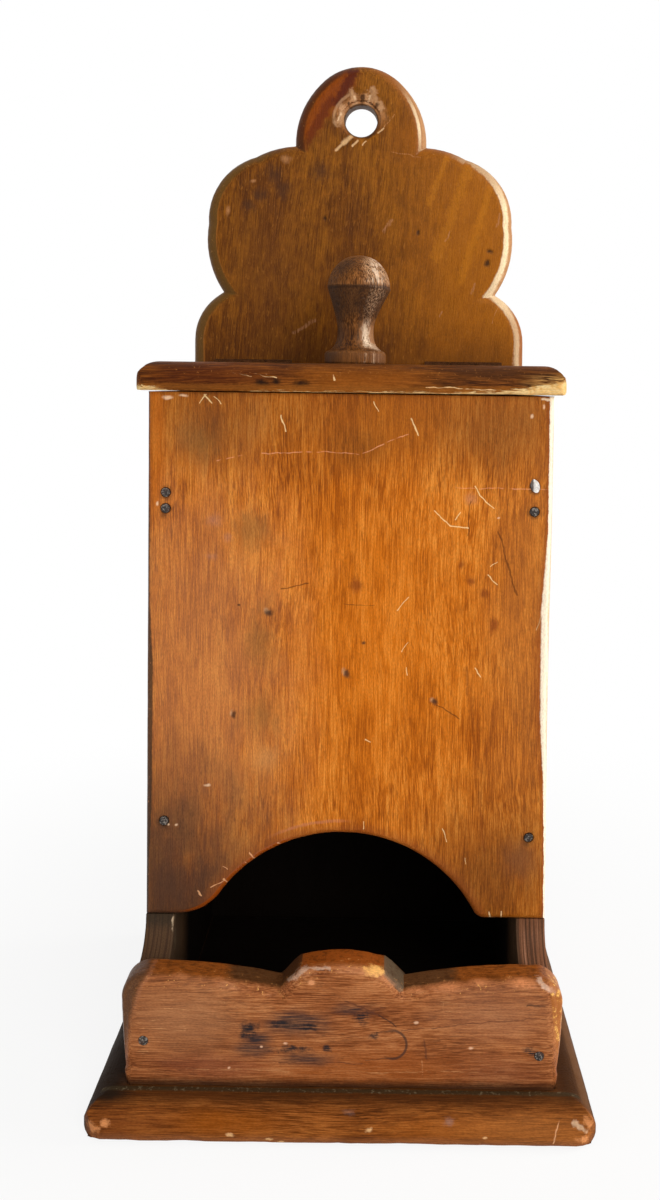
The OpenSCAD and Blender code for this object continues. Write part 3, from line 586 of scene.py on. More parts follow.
def panel_finish():
    """The front: bright orange shellac on upright grain, a painted pool of light in the middle, painted shade
    under the lid, a hazed finish with painted shade at the lower left, and bare wood with a painted highlight
    down the right arris.
    """
    f = Finish("panel_wood", UPRIGHT, 11.0, ((138, 64, 6), (200, 110, 24), (232, 146, 56)))
    f.layer(f.pore, (112, 50, 10), 0.6)
    # Stains with painted light among them: the bright one in the middle (14, 180) is a painted pool of light,
    # and the dark purple-brown one at the lower left (-76, 80) is a hazed finish and partly painted shade.
    f.stains(PANEL_FACE, 40, [
        (14, 180, 66, 110, 0.1, 0.3, (222, 118, 6), 0.4),
        (-62, 165, 62, 130, 0.2, 0.25, (190, 126, 82), 0.5),
        (76, 190, 30, 130, 0.2, 0.3, (190, 120, 56), 0.4),
        (-76, 80, 78, 84, 0.0, 0.25, (78, 52, 38), 0.95),
        (62, 84, 50, 56, 0.05, 0.3, (112, 64, 22), 0.7),
        (72, 92, 14, 14, 0.1, 0.3, (104, 62, 44), 0.55),
    ])
    # Painted shade: the top of the panel, under the lid, is painted darker.
    f.layer(f.fade(f.rough(f.z, f.drift, 9), 236, 282), (122, 68, 20), 0.5)
    f.stains(PANEL_FACE, 20, [
        (16, 272, 34, 24, 0.1, 0.4, (184, 104, 26), 0.4),
        (2, 262, 18, 14, 0.0, 0.7, (98, 56, 18), 0.4),
        (-56, 266, 30, 26, 0.0, 0.4, (104, 66, 36), 0.5),
        (58, 268, 34, 26, 0.0, 0.4, (112, 64, 26), 0.5),
        (-80, 262, 6, 40, 0.4, 0.3, (190, 100, 20), 0.5),
    ])
    olive = [(-41.6, 225.8, 13, 14), (-35.1, 181.5, 11, 18), (-36.1, 152.5, 12, 15), (-60, 262, 12, 12)]
    f.layer(f.patches(PANEL_FACE, olive, 0.0, 0.8, 30), (142, 96, 46), 0.55)
    f.stains(PANEL_FACE, 30, [(-34, 132.6, 9, 9, 0.1, 0.4, (206, 142, 80), 0.55)])
    bloom = [(-55.4, 231.1, 5.5, 4), (-56.4, 216.2, 3.6, 2.2), (-50, 224, 3, 3), (49, 241, 4, 4)]
    f.layer(f.spots(PANEL_FACE, bloom, 0.05, 0.4), (176, 118, 96), 0.45)
    arch = f.away(ARCH_X, ARCH_Z)
    # Painted shade: a darker reddish band on the arch's rounded edge, which turns away from the light.
    f.layer(f.fade(f.rough(arch, f.fray, 1.2), 69, 62.5), (134, 66, 30), 0.6)
    scuffs = f.band(f.rough(arch, f.fray, 0.8), 67.5, 0.9, 0.2)
    f.layer(f.both(scuffs, f.fade(f.x, 4, -6), f.fade(f.x, -34, -22)), (196, 124, 92), 0.5)
    foot = f.both(f.fade(f.arris, 0.15, 0.5), f.fade(f.x, -18, -26), f.fade(f.z, 104, 98))
    foot = f.both(foot, f.fade(f.x, -70, -62))
    f.layer(foot, (168, 78, 14), 0.75)
    f.polish(foot)
    # Painted shade: the rounded left arris, away from the light, is painted dark in a strip whose width
    # changes with height.
    left = f.graph(f.z, [(67, 0.8), (90, 1.2), (112, 2.4), (172, 2.6), (198, 1.0), (283, 0.6)], 10.0)
    past = f.sum("SUBTRACT", f.sum("SUBTRACT", f.x, PANEL_LEFT), left)
    f.layer(f.fade(f.rough(past, f.fray, 0.5), 0.5, -0.3), (62, 46, 34), 0.85)
    stained = [(x, z - 0.4, 3.6, 4.6) for x, z, tall in PANEL_NAILS if tall < BRIGHT_FROM]
    f.layer(f.spots(PANEL_FACE, stained, 0.2, 0.5), (60, 38, 24), 0.7)
    f.layer(f.spots(PANEL_FACE, [(75, 246.5, 3, 4.6)], 0.5, 0.3), (52, 34, 24), 0.8)
    dents = [
        (-32.5, 193.5, 2.4, 2.0), (-0.9, 168.8, 2.0, 2.8), (-46.4, 151.2, 1.5, 2.2),
        (35.6, 157.6, 2.0, 2.0), (6.1, 181.3, 1.3, 1.2), (-44.7, 196.4, 1.0, 0.9),
    ]
    pits = f.spots(PANEL_FACE, dents, 0.2, 0.5)
    crescents = [(x - 1.0, z + 0.7, w * 0.7, h * 0.8) for x, z, w, h in dents[:4]]
    f.layer(f.spots(PANEL_FACE, crescents, 0.1, 0.4), (226, 176, 130), 0.6)
    f.layer(pits, (66, 42, 30), 0.85)
    f.press(pits, -2.0)
    knots = [
        (58.8, 189.5, 3.8, 4.4), (55, 202.7, 3.2, 3), (49.5, 207.7, 3, 2.8), (45.7, 213.9, 2, 2.2),
        (3, 205, 4, 5),
    ]
    f.layer(f.spots(PANEL_FACE, knots, 0.05, 0.6), (128, 56, 18), 0.7)
    dark = [
        (-27.8, 203.1, -16.9, 205.6, 1.0), (60.5, 227.7, 64, 216, 1.0), (64, 216, 68.5, 202, 1.6),
        (49.3, 240, 47.6, 226, 0.9), (36.5, 156.4, 46, 150.6, 0.8), (-2, 197, 10, 197, 0.5),
    ]
    f.layer(f.strokes(PANEL_FACE, dark), (92, 44, 14), 0.7)
    shadow = f.strokes(PANEL_FACE, [(48.5, 172, 56.5, 96, 3.4)], 0.6)
    f.layer(f.both(shadow, f.streak), (128, 62, 16), 0.7)
    hair = [
        (-54.1, 255.4, -44, 257.4, 0.7), (-36, 258.4, -10, 259.6, 0.75), (-10, 259.6, 4, 258.6, 0.6),
        (4, 258.6, 23.6, 267, 0.7), (42.5, 245.6, 80.7, 245.4, 0.6),
    ]
    broken = f.fade(f.speckle((5, 5, 5), 2.0, 0.6), 0.34, 0.52)
    f.layer(f.both(f.strokes(PANEL_FACE, hair, 0.15), broken), (232, 158, 112), 0.75)
    pale = [
        (-28.4, 274, -26.7, 267.4, 1.0), (24.6, 273.5, 27.6, 266.6, 1.0), (9.2, 279.6, 11, 276, 0.7),
        (50.6, 246.6, 52.6, 242.4, 0.9), (52.6, 242.4, 58.6, 237.6, 0.8), (34.6, 236.2, 40.5, 229.6, 0.8),
        (40.5, 229.6, 47.6, 228.8, 0.9), (42.8, 232.4, 44.9, 235.5, 0.8), (19.5, 195.1, 24.2, 200.1, 0.6),
        (22.1, 178.1, 24.4, 182.2, 0.6), (-59.3, 282, -56.9, 278.6, 1.0), (-61.6, 278.8, -58.6, 282, 0.9),
        (-55.6, 281, -53, 278.6, 0.7), (56.4, 210.4, 60.2, 206.2, 0.7), (57.5, 213.4, 60, 215.4, 0.5),
        (76.7, 187.4, 78.2, 193.6, 0.8), (52.1, 171.6, 54.5, 167.9, 0.7), (39.8, 104.9, 41.6, 99.6, 0.6),
        (7.4, 141.4, 9.4, 140.2, 0.9), (24, 171.6, 24.4, 168.6, 0.6), (7, 107, 7.4, 104, 0.6),
        (49, 93, 49.4, 90, 0.5),
    ]
    scratches = f.strokes(PANEL_FACE, pale, 0.2)
    f.layer(scratches, (252, 214, 152), 0.85)
    f.press(scratches, -0.8)
    specks = [
        (-78.4, 237.6, 0.8, 1.4), (-73.2, 105, 1.0, 0.8), (-70, 104.9, 0.8, 0.8), (-57.4, 121.7, 1.9, 1.0),
        (60.4, 233.4, 1.0, 0.7), (73, 275, 0.9, 1.2), (78, 278.6, 0.8, 1.4), (-74, 280.5, 3, 1.2),
        (-68, 281.4, 2, 0.8),
    ]
    f.layer(f.spots(PANEL_FACE, specks, 0.2, 0.5), (244, 204, 166), 0.8)
    chips = [
        (-39.6, 93.6, -37.6, 91.2, 1.0), (-41.4, 89.6, -40.6, 88.6, 1.0), (-50.2, 82.8, -48.6, 81, 1.3),
        (-61.2, 77.2, -59.6, 75.2, 0.9), (-28.4, 97.8, -27, 97, 1.0), (-50.6, 87.6, -48.6, 86.6, 0.7),
        (-56, 79, -50, 82.4, 0.5),
    ]
    f.layer(f.strokes(PANEL_FACE, chips, 0.4), (246, 184, 132), 0.8)
    feet = [
        (46.5, 74.2, 48, 72.4, 1.4), (59.6, 70, 60.2, 67.4, 0.9), (64, 70.4, 64.4, 67.4, 0.8),
        (56, 67.6, 63, 67.5, 0.7),
    ]
    f.layer(f.strokes(PANEL_FACE, feet, 0.4), (252, 214, 160), 0.85)
    f.layer(f.both(f.worn()["Fleck"], f.fade(f.x, -70, -79)), (206, 138, 88), 0.6)
    stops = [(67, 0.9), (100, 1.3), (126, 2.2), (150, 3.8), (196, 4.2), (212, 3.0), (230, 2.0), (283, 2.3)]
    width = f.graph(f.z, stops, 10.0)
    part = f.sum("DIVIDE", f.sum("SUBTRACT", PANEL_RIGHT, f.x), f.rough(width, f.fray, 0.55))
    front = f.fade(f.rough(f.y, f.fray, 1.2), -30.5, -33.5)
    f.layer(f.both(f.fade(part, 2.1, 1.1), front), (128, 58, 22), 0.6)
    # Bare wood and painted highlight: the cream strip down the right arris is both the worn wood and the
    # light caught on it.
    f.layer(f.both(f.fade(part, 1.08, 0.86), front), CREAM, 0.95)
    dull = f.both(f.fade(part, 0.42, 0.14), f.fade(f.rough(f.streak, f.fray, 0.3), 0.3, 0.6), front)
    f.layer(dull, (220, 160, 104), 0.8)
    f.layer(f.strokes(PANEL_FACE, [(77, 282, 82.4, 281.6, 2.0)], 0.4), (250, 224, 190), 0.8)
    # Painted shade: the back of the panel, its inner face and the rear of its edges, is painted near black
    # for the shade inside the box.
    f.layer(f.fade(f.y, -29, -24.5), INSIDE_SHADE)
    return f.seal(0.34)


def back_finish():
    """The back: golden brown, smoky blotches, a reddened top lobe, painted shade low down above the lid, and
    a rim painted darker on the left and pale with a painted highlight on the right.
    """
    f = Finish("back_wood", LEANING, 23.0, ((86, 44, 5), (118, 66, 10), (146, 88, 18)))
    f.layer(f.pore, (58, 28, 5), 0.5)
    mottle = f.speckle((4.5, 4.5, 8), 4.0, 0.65, f.along)
    f.layer(f.fade(f.rough(f.x, f.drift, 14), -8, 62), (192, 112, 14), 0.58)
    f.layer(f.both(f.fade(mottle, 0.48, 0.68), f.fade(f.x, 60, -20, 0.5, 1.0)), (80, 40, 6), 0.36)
    f.layer(f.fade(mottle, 0.5, 0.32), (176, 106, 26), 0.3)
    f.stains(BACK_FACE, 30, [
        (-46, 346, 34, 60, 0.1, 0.4, (104, 58, 20), 0.45),
        (-4, 330, 30, 60, 0.1, 0.4, (92, 48, 6), 0.4),
    ])
    # Painted shade: the lowest part of the back board, just above the lid, is painted darker.
    f.layer(f.fade(f.rough(f.z, f.drift, 8), 322, 296), (82, 42, 6), 0.5)
    f.stains(BACK_FACE, 30, [(30, 408, 22, 16, 0.2, 0.3, (150, 84, 14), 0.5)])
    bands = [(54, 396, 38, 350, 9), (64, 384, 50, 338, 6), (44, 404, 34, 376, 5)]
    f.layer(f.strokes(BACK_FACE, bands, 0.5), (206, 128, 24), 0.3)
    flecks = f.fade(f.speckle((0.9, 0.9, 4.0), 2.0, 0.5, f.along), 0.6, 0.72)
    f.layer(flecks, (176, 112, 40), 0.45)
    smoke = [(-42.3, 390, 7, 9), (-38, 383, 6, 8), (-20, 391.7, 8, 7), (-55, 375, 5, 5), (-50, 380, 7, 5)]
    f.layer(f.spots(BACK_FACE, smoke, 0.0, 0.5), (62, 38, 26), 0.6)
    scars = [(-37, 398, 3.4, 3.2), (-53, 387, 2.4, 1.2), (-65.4, 372, 1.4, 3.4)]
    f.layer(f.spots(BACK_FACE, scars, 0.1, 0.5), (198, 140, 92), 0.55)
    red = [
        (-9, 438, -28, 413, 21, (140, 64, 8), 0.85), (-4, 441, -12, 426, 9, (78, 22, 6), 0.85),
        (-28, 404, -15, 427, 8, (92, 32, 6), 0.7), (-21, 431, -29, 416, 5, (160, 82, 14), 0.45),
    ]
    for *mark, tone, strength in red:
        f.layer(f.strokes(BACK_FACE, [mark], 0.3), tone, strength)
    dents = [
        (64.7, 353.9, 2.4, 1.8), (63.3, 348, 2.2, 2.6), (-17.3, 369.1, 1.3, 2.8), (28.9, 362.3, 1.2, 2.6),
    ]
    pits = f.spots(BACK_FACE, dents, 0.1, 0.5)
    f.layer(pits, (38, 22, 8), 0.85)
    f.press(pits, -1.5)
    rim = f.fade(f.arris, 0.06, 0.3)
    left = f.fade(f.aside, -0.05, -0.3)
    right = f.fade(f.aside, 0.05, 0.3)
    # Painted shade: where the rim turns to the left, away from the light, it is painted darker.
    f.layer(f.both(rim, left, f.fade(f.z, 405, 399)), (104, 72, 28), 0.9)
    f.layer(f.both(f.fade(f.arris, 0.4, 0.8), left, f.fade(f.z, 399, 405)), (66, 32, 10), 0.8)
    line = f.both(f.fade(f.arris, 0.0, 0.06), f.fade(f.arris, 0.5, 0.25), left, f.fade(f.z, 410, 400))
    f.layer(line, (202, 122, 48), 0.8)
    f.layer(f.both(f.fade(f.arris, 0.2, 0.5), right), (144, 84, 34), 0.75)
    # Painted highlight: where the rim turns to the right it is painted pale cream, in a band whose strength
    # changes with height.
    stops = [(296, 0.5), (318, 0.4), (326, 0.7), (345, 1.0), (376, 1.0), (390, 0.45), (404, 0.3), (413, 0.9)]
    bright = f.graph(f.z, stops + [(424, 0.7), (432, 0.25), (440, 0.1)], 1.0)
    inner = f.fade(f.rough(f.aside, f.fray, 0.1), 0.16, 0.3)
    inner = f.both(inner, f.fade(f.rough(f.aside, f.fray, 0.12), 0.78, 0.56))
    f.layer(f.both(rim, f.fade(f.aside, 0.5, 0.8), f.fade(f.z, 322, 334)), (190, 144, 96), 0.6)
    thin = f.both(f.fade(f.rough(f.aside, f.fray, 0.06), 0.3, 0.44), f.fade(f.aside, 0.66, 0.56))
    thin = f.sum("MAXIMUM", thin, f.fade(f.z, 404, 396))
    f.layer(f.both(rim, inner, thin, bright, f.fade(f.x, 12, 30)), (246, 220, 178), 0.95)
    f.layer(f.worn()["Fleck"], (208, 148, 84), 0.5)
    pale = [
        (-32, 312.5, -22, 318.5, 3.2), (12, 363, 15.6, 368, 3.0), (42, 358.4, 45, 364, 1.6),
        (67.6, 366, 69.5, 372, 2.4), (56, 332.5, 57.8, 337, 2.0), (40, 321, 41.4, 324, 1.2),
    ]
    f.layer(f.both(f.strokes(BACK_FACE, pale, 0.4), f.fade(f.fibre, 0.2, 0.7)), (190, 134, 92), 0.6)
    hair = [(72.4, 334, 66, 318, 0.7), (15, 402, 30, 399.4, 0.8), (9, 411, 16, 420, 1.0)]
    f.layer(f.both(f.strokes(BACK_FACE, hair, 0.3), f.fade(f.fibre, 0.2, 0.7)), (206, 148, 96), 0.5)
    away = f.away(HANG_X, HANG_Z)
    above = f.fade(f.z, 413, 421)
    f.layer(f.both(f.fade(f.rough(away, f.fray, 2.2), 12.5, 9.0), f.fade(f.z, 408, 416)), (150, 92, 48), 0.6)
    f.layer(f.both(f.fade(f.rough(away, f.fray, 3.0), 15, 9.5), above), (196, 138, 90), 0.6)
    lip = f.both(f.band(f.rough(away, f.fray, 0.5), 13.6, 1.0, 0.2), f.fade(f.x, -3, -7), above)
    f.layer(lip, (226, 180, 134), 0.35)
    torn = [
        (-2.6, 426, -4.4, 431, 7.0), (3.6, 426, 5.4, 431.6, 7.0), (-8.8, 424, -11, 416, 6.0),
        (7, 428, 10, 424, 5.0),
    ]
    f.layer(f.strokes(BACK_FACE, torn, 0.5), (214, 166, 122), 0.55)
    glint = [(3.2, 427.4, 4.2, 430, 2.2), (-2.2, 426.6, -3, 428.8, 1.8), (-10.4, 421, -11.4, 417, 1.6)]
    f.layer(f.strokes(BACK_FACE, glint, 0.4), (244, 208, 166), 0.7)
    split = [
        (-5, 409.4, -9, 406, 4.0), (-8.6, 406.4, -12.6, 402.6, 2.4), (-1.4, 407.2, -4.2, 404.4, 1.8),
        (2.6, 407, 1.2, 405, 1.2), (8.6, 411, 11.4, 413.6, 1.2),
    ]
    gouge = f.strokes(BACK_FACE, split, 0.15)
    f.layer(gouge, (238, 192, 138), 0.8)
    f.press(gouge, -1.4)
    rifts = [(0.2, 425.4, 0.9, 428.6, 3.6), (6.4, 423.2, 8, 425.6, 3.0), (-5.4, 424, -6.4, 426, 2.4)]
    f.layer(f.strokes(BACK_FACE, rifts, 0.5), (66, 36, 18), 0.85)
    f.layer(f.both(f.fade(away, 9.0, 8.2), f.fade(f.y, 66.6, 68)), (70, 46, 28), 0.8)
    # Painted shade: the back board's front face below the lid, and the front of its edges there, are painted
    # near black for the shade inside the box.
    f.layer(f.both(f.fade(f.z, 284, 282), f.fade(f.y, 72, 70)), INSIDE_SHADE)
    return f.seal(0.36)


def trough_finish():
    """The trough front: reddish brown, lengthways grain, inky stains and orange wear on its upper arrises."""
    f = Finish("trough_wood", LENGTHWAYS, 37.0, ((112, 58, 26), (160, 94, 50), (192, 126, 78)))
    f.layer(f.pore, (84, 42, 22), 0.5)
    f.stains(TROUGH_FACE, 20, [
        (-60, 42, 40, 22, 0.1, 0.3, (166, 114, 78), 0.55),
        (58, 44, 34, 18, 0.1, 0.3, (164, 110, 78), 0.5),
        (10, 22, 60, 14, 0.1, 0.3, (158, 82, 28), 0.55),
        (-50, 22, 34, 8, 0.1, 0.4, (128, 66, 44), 0.5),
        (62, 22, 26, 10, 0.1, 0.4, (118, 62, 40), 0.45),
    ])
    # Painted shade: the foot of the trough front, where it meets the base, is painted near black.
    f.layer(f.fade(f.rough(f.z, f.fray, 0.8), 19.5, 15.5), (34, 20, 12), 0.85)
    soft = [(-17.5, 41, 22, 8), (-34.8, 30, 12, 5), (-33, 33.5, 9, 5), (-14, 26, 18, 4), (4, 46, 14, 4)]
    smudge = f.patches(TROUGH_FACE, soft, 0.0, 0.5, 20)
    f.layer(f.both(smudge, f.fade(f.fibre, 2.0, 0.0)), (44, 40, 44), 0.95)
    hard = [
        (-36, 37.6, 5.4, 5), (-19.8, 29.7, 10, 2.4), (-5.1, 30.7, 3, 2), (7.9, 42.7, 4.6, 3.2),
        (13, 35.7, 3, 1.8), (72.6, 30.6, 3.4, 1.8), (-22, 39.6, 7, 2.2), (-13, 38.8, 6, 2.0),
    ]
    feather = f.fade(f.rough(f.fibre, f.fray, 0.5), 1.3, 0.3)
    f.layer(f.both(f.spots(TROUGH_FACE, hard, 0.2, 0.8), feather), (30, 31, 36), 0.98)
    loop = f.band(f.away(19.6, 32.3), 5.6, 0.75, 0.2)
    f.layer(f.both(loop, f.fade(f.x, 15, 21)), (44, 38, 38), 0.7)
    lines = [
        (13.8, 36.8, 20, 37.6, 0.7), (71.8, 48.4, 78.3, 48.5, 1.0), (20.8, 26.9, 9, 26, 0.6),
        (14, 44, 21, 40, 0.9),
    ]
    f.layer(f.strokes(TROUGH_FACE, lines, 0.15), (54, 38, 32), 0.7)
    faint = [
        (1.3, 49.7, 14, 44, 1.1), (23, 38.2, 78.4, 43.7, 0.8), (32, 34, 33, 27, 1.6),
        (-24, 25, 8, 24.4, 0.8),
    ]
    f.layer(f.strokes(TROUGH_FACE, faint, 0.3), (92, 52, 36), 0.6)
    pale = [
        (-68.1, 45.2, -58.9, 45.3, 0.9), (-78, 36.9, -60, 37, 1.1), (-79, 27.7, -75, 28, 2.2),
        (-47, 49.6, -45, 47.6, 0.6), (38, 49.4, 45, 49, 0.8), (39, 49.4, 39.4, 46, 0.8),
        (39.4, 46, 46, 45.6, 0.6), (-60, 21.6, -20, 21.4, 0.8), (10, 21.4, 60, 22.2, 0.9),
        (-28, 46.4, -24, 46.2, 0.6), (31, 26.5, 31.4, 20, 0.7), (-80, 40, -70, 40.4, 0.7),
    ]
    f.layer(f.both(f.strokes(TROUGH_FACE, pale, 0.5), f.fade(f.fibre, 0.2, 0.8)), (212, 152, 100), 0.5)
    dots = [
        (-31, 30.8, 0.7, 0.6), (-21.6, 32, 1.2, 0.7), (-43.4, 22.2, 0.7, 0.6), (28.6, 41.2, 1.0, 0.7),
        (50, 31, 1.6, 0.9),
    ]
    f.layer(f.spots(TROUGH_FACE, dots, 0.2, 0.4), (244, 196, 160), 0.8)
    upper = f.fade(f.rough(f.y, f.fray, 0.6), -64, -60.5)
    top = f.both(upper, f.fade(f.z, 48, 51))
    ends = f.fade(f.size(f.x), 36, 56)
    f.layer(top, (88, 58, 32), 0.9)
    f.layer(f.both(top, f.fade(f.rough(ends, f.fray, 0.3), 0.2, 0.6)), (160, 88, 32), 0.9)
    f.layer(f.both(top, ends, f.fade(f.fibre, 0.55, 0.2)), (78, 38, 10), 0.6)
    crown = f.both(f.fade(f.size(f.x), 19, 14), f.fade(f.z, 57.5, 59.5))
    f.layer(f.both(crown, upper), (158, 80, 24), 0.85)
    slope = f.both(f.fade(f.size(f.aside), 0.4, 0.6), f.fade(f.size(f.x), 28, 25))
    # Painted reflection: the crown's right-hand slope is painted grey for the window light it reflects;
    # painted shade: the back of its left-hand slope is painted darker.
    f.layer(f.both(slope, f.fade(f.x, -4, 4)), (92, 78, 60), 0.85)
    f.layer(f.both(slope, f.fade(f.x, 4, -4), f.fade(f.y, -62, -58)), (70, 42, 24), 0.7)
    rubbed = f.speckle((2.6, 2.6, 1.8), 4.0, 0.7)
    f.layer(f.both(top, f.fade(rubbed, 0.5, 0.62)), (64, 32, 10), 0.5)
    edge = f.fade(f.rough(f.y, f.fray, 2), -56, -60)
    f.layer(f.both(top, f.fade(rubbed, 0.4, 0.32), edge), (226, 156, 90), 0.75)
    # Wear and painted highlight: the faint pale line along the upper front arris is both rubbed wood and
    # light caught on the rounding.
    high = f.fade(f.z, 46, 51)
    line = f.both(f.fade(f.arris, 0.7, 0.98), high, f.fade(f.y, -60, -62))
    f.layer(f.both(line, f.fade(f.rough(f.cloud, f.fray, 0.5), 0.45, 0.7)), (202, 138, 98), 0.3)
    f.layer(f.both(f.worn()["Fleck"], high, f.fade(f.y, -56, -60)), (244, 178, 98), 0.85)
    rub = [
        (38, 55, 13, 3.2), (28, 53, 6, 2.4), (52, 56.6, 9, 2.4), (-47.4, 56.6, 5, 2.4), (70, 56.6, 9, 4),
        (-62, 58, 9, 2.4),
    ]
    f.layer(f.both(f.spots(TROUGH_ROLL, rub, 0.1, 0.5), f.fade(f.fray, -0.4, 0.2)), (224, 144, 92), 0.85)
    f.layer(f.spots(TROUGH_ROLL, [(12.9, 60.5, 5.5, 2.6)], 0.3, 0.8, 5), (250, 190, 108), 0.9)
    f.layer(f.spots(TROUGH_LIP, [(-11.9, 56, 2, 1.2)], 0.3, 0.5), (232, 160, 110), 0.85)
    sheen = [f.stroke((-21, -65, 55.4), (-14, -64, 60.2), 2.6, 0.5)]
    sheen += [f.stroke((-14, -64, 60.2), (-5, -64, 61), 1.6, 0.5)]
    sheen = f.either(sheen + [f.stroke((75, -64, 58.4), (82, -63, 52), 3.0, 0.5)])
    f.layer(sheen, (240, 206, 176), 0.38)
    f.polish(sheen)
    left = f.graph(f.z, [(15, 2.2), (20, 1.4), (28, 2.0), (38, 3.8), (48, 5.8), (54, 8.0), (58, 11.0)], 12.0)
    end = f.sum("SUBTRACT", f.rough(f.sum("ADD", f.x, TROUGH_HALF), f.fray, 1.4), left)
    # Painted shade: the rounded left end, turned away from the light, is painted dark grey-brown.
    f.layer(f.fade(end, 1.8, -1.2), (82, 56, 36), 0.8)
    f.layer(f.both(f.fade(end, 0.0, -3.0), f.fade(rubbed, 0.46, 0.36)), (136, 98, 64), 0.5)
    f.layer(f.both(f.band(end, 1.2, 1.2, 0.3), f.fade(f.z, 40, 50)), (186, 128, 96), 0.2)
    right = f.graph(f.z, [(15, 1.0), (24, 2.4), (40, 4.4), (50, 5.6), (58, 6.5)], 12.0)
    side = f.sum("SUBTRACT", f.rough(f.sum("SUBTRACT", TROUGH_HALF, f.x), f.fray, 0.8), right)
    f.layer(f.fade(side, 0.6, -0.6), (168, 100, 44), 0.75)
    scraped = f.both(f.fade(side, 0.4, -0.4), f.fade(f.fray, 0.05, 0.3), f.fade(f.z, 26, 36))
    f.layer(scraped, (238, 184, 96), 0.85)
    # Painted shade: the trough board's inner face is painted near black for the shade in the trough.
    f.layer(f.both(f.fade(f.y, -53, -50.5), f.fade(f.z, 56, 50)), INSIDE_SHADE, 0.9)
    return f.seal(0.34)


def base_finish():
    """The base: reddish brown lengthways grain, painted shade on its top beside the trough, a painted
    reflection along its foot, and worn front corners with painted highlights.
    """
    f = Finish("base_wood", LENGTHWAYS, 53.0, ((82, 40, 10), (136, 74, 26), (170, 102, 44)))
    f.layer(f.pore, (70, 36, 16), 0.4)
    f.stains(BASE_FACE, 12, [
        (-44, 8, 26, 6, 0.1, 0.4, (150, 78, 14), 0.6),
        (-80, 7, 26, 8, 0.1, 0.4, (118, 62, 26), 0.5),
        (40, 7, 40, 5, 0.1, 0.4, (158, 86, 26), 0.5),
        (72, 7, 44, 9, 0.1, 0.3, (176, 108, 52), 0.5),
    ])
    # Painted reflection: a lighter pinkish band along the foot of the base's front.
    f.layer(f.fade(f.rough(f.z, f.drift, 1.2), 5.0, 1.2), (150, 98, 66), 0.5)
    # Painted shade: the top of the base is painted darker than its front, darkest to the left of the trough
    # and dark beside it on the right.
    f.layer(f.fade(f.rough(f.y, f.drift, 1.5), -76.4, -70), (66, 36, 14), 0.8)
    top_left_shade = f.both(f.fade(f.rough(f.x, f.drift, 3), -76, -88), f.fade(f.rough(f.y, f.drift, 2), -76, -71))
    f.layer(top_left_shade, (28, 20, 12), 0.92)
    f.layer(f.both(f.fade(f.x, 82, 88), f.fade(f.y, -73, -67)), (58, 34, 14), 0.8)
    # Painted highlight: a thin lighter line on the rounded arris of the base's top at its right end.
    rubbed = f.both(f.fade(f.arris, 0.7, 0.95), f.fade(f.x, 90, 94), f.fade(f.y, -74, -68))
    f.layer(rubbed, (122, 82, 50), 0.5)
    gritty = f.fade(f.speckle((1.6, 1.6, 1.6), 3.0, 0.6), 0.55, 0.66)
    # Painted shade: a dark line along the foot of the trough on the base; the pale grit laid over it below is
    # the base's own dirt.
    seam = f.both(f.band(f.rough(f.y, f.fray, 0.4), -67.6, 1.6, 0.6), f.fade(f.z, 13, 14))
    f.layer(seam, (62, 50, 32), 0.8)
    f.layer(f.both(seam, gritty), (140, 124, 96), 0.4)
    chips = [(-93, 5.6, 3.8, 2.4), (-88.4, 7.2, 2.8, 1.6), (91.6, 3.8, 4.4, 1.8), (94, 9.6, 2.6, 2.4)]
    f.layer(f.spots(BASE_ROLL, chips, 0.3, 0.9, 5), (222, 148, 92), 0.85)
    small = [
        (10.8, 6.6, 1.5, 1.3), (-41, 4, 2.4, 1.0), (-26.5, 3, 2.2, 0.8), (-22.5, 1.6, 2.4, 0.8),
        (55, 4.4, 1.4, 0.7),
    ]
    f.layer(f.spots(BASE_FACE, small, 0.2, 0.8), (246, 196, 138), 0.8)
    bruises = [(41.2, 9.6, 3, 2.2), (3.6, 11.6, 4.4, 1.4)]
    f.layer(f.spots(BASE_LIP, bruises, 0.0, 0.6), (150, 116, 104), 0.6)
    f.layer(f.stroke((83.3, -77, 10.4), (80.4, -78, 2.5), 0.9), (226, 168, 122), 0.75)
    # Painted highlight on the rounded right front corner of the base.
    f.layer(f.stroke((88.6, -76, 9), (93, -74, 7.4), 3.6, 0.4), (232, 196, 160), 0.6)
    f.layer(f.both(f.worn()["Fleck"], f.fade(f.z, 6, 3)), (214, 168, 130), 0.6)
    # Painted shade: the base's top inside the box is painted near black.
    f.layer(f.both(f.fade(f.y, -26, -22), f.fade(f.z, 13, 14), f.fade(f.size(f.x), 72, 70)), INSIDE_SHADE)
    return f.seal(0.55, shine=0.04)


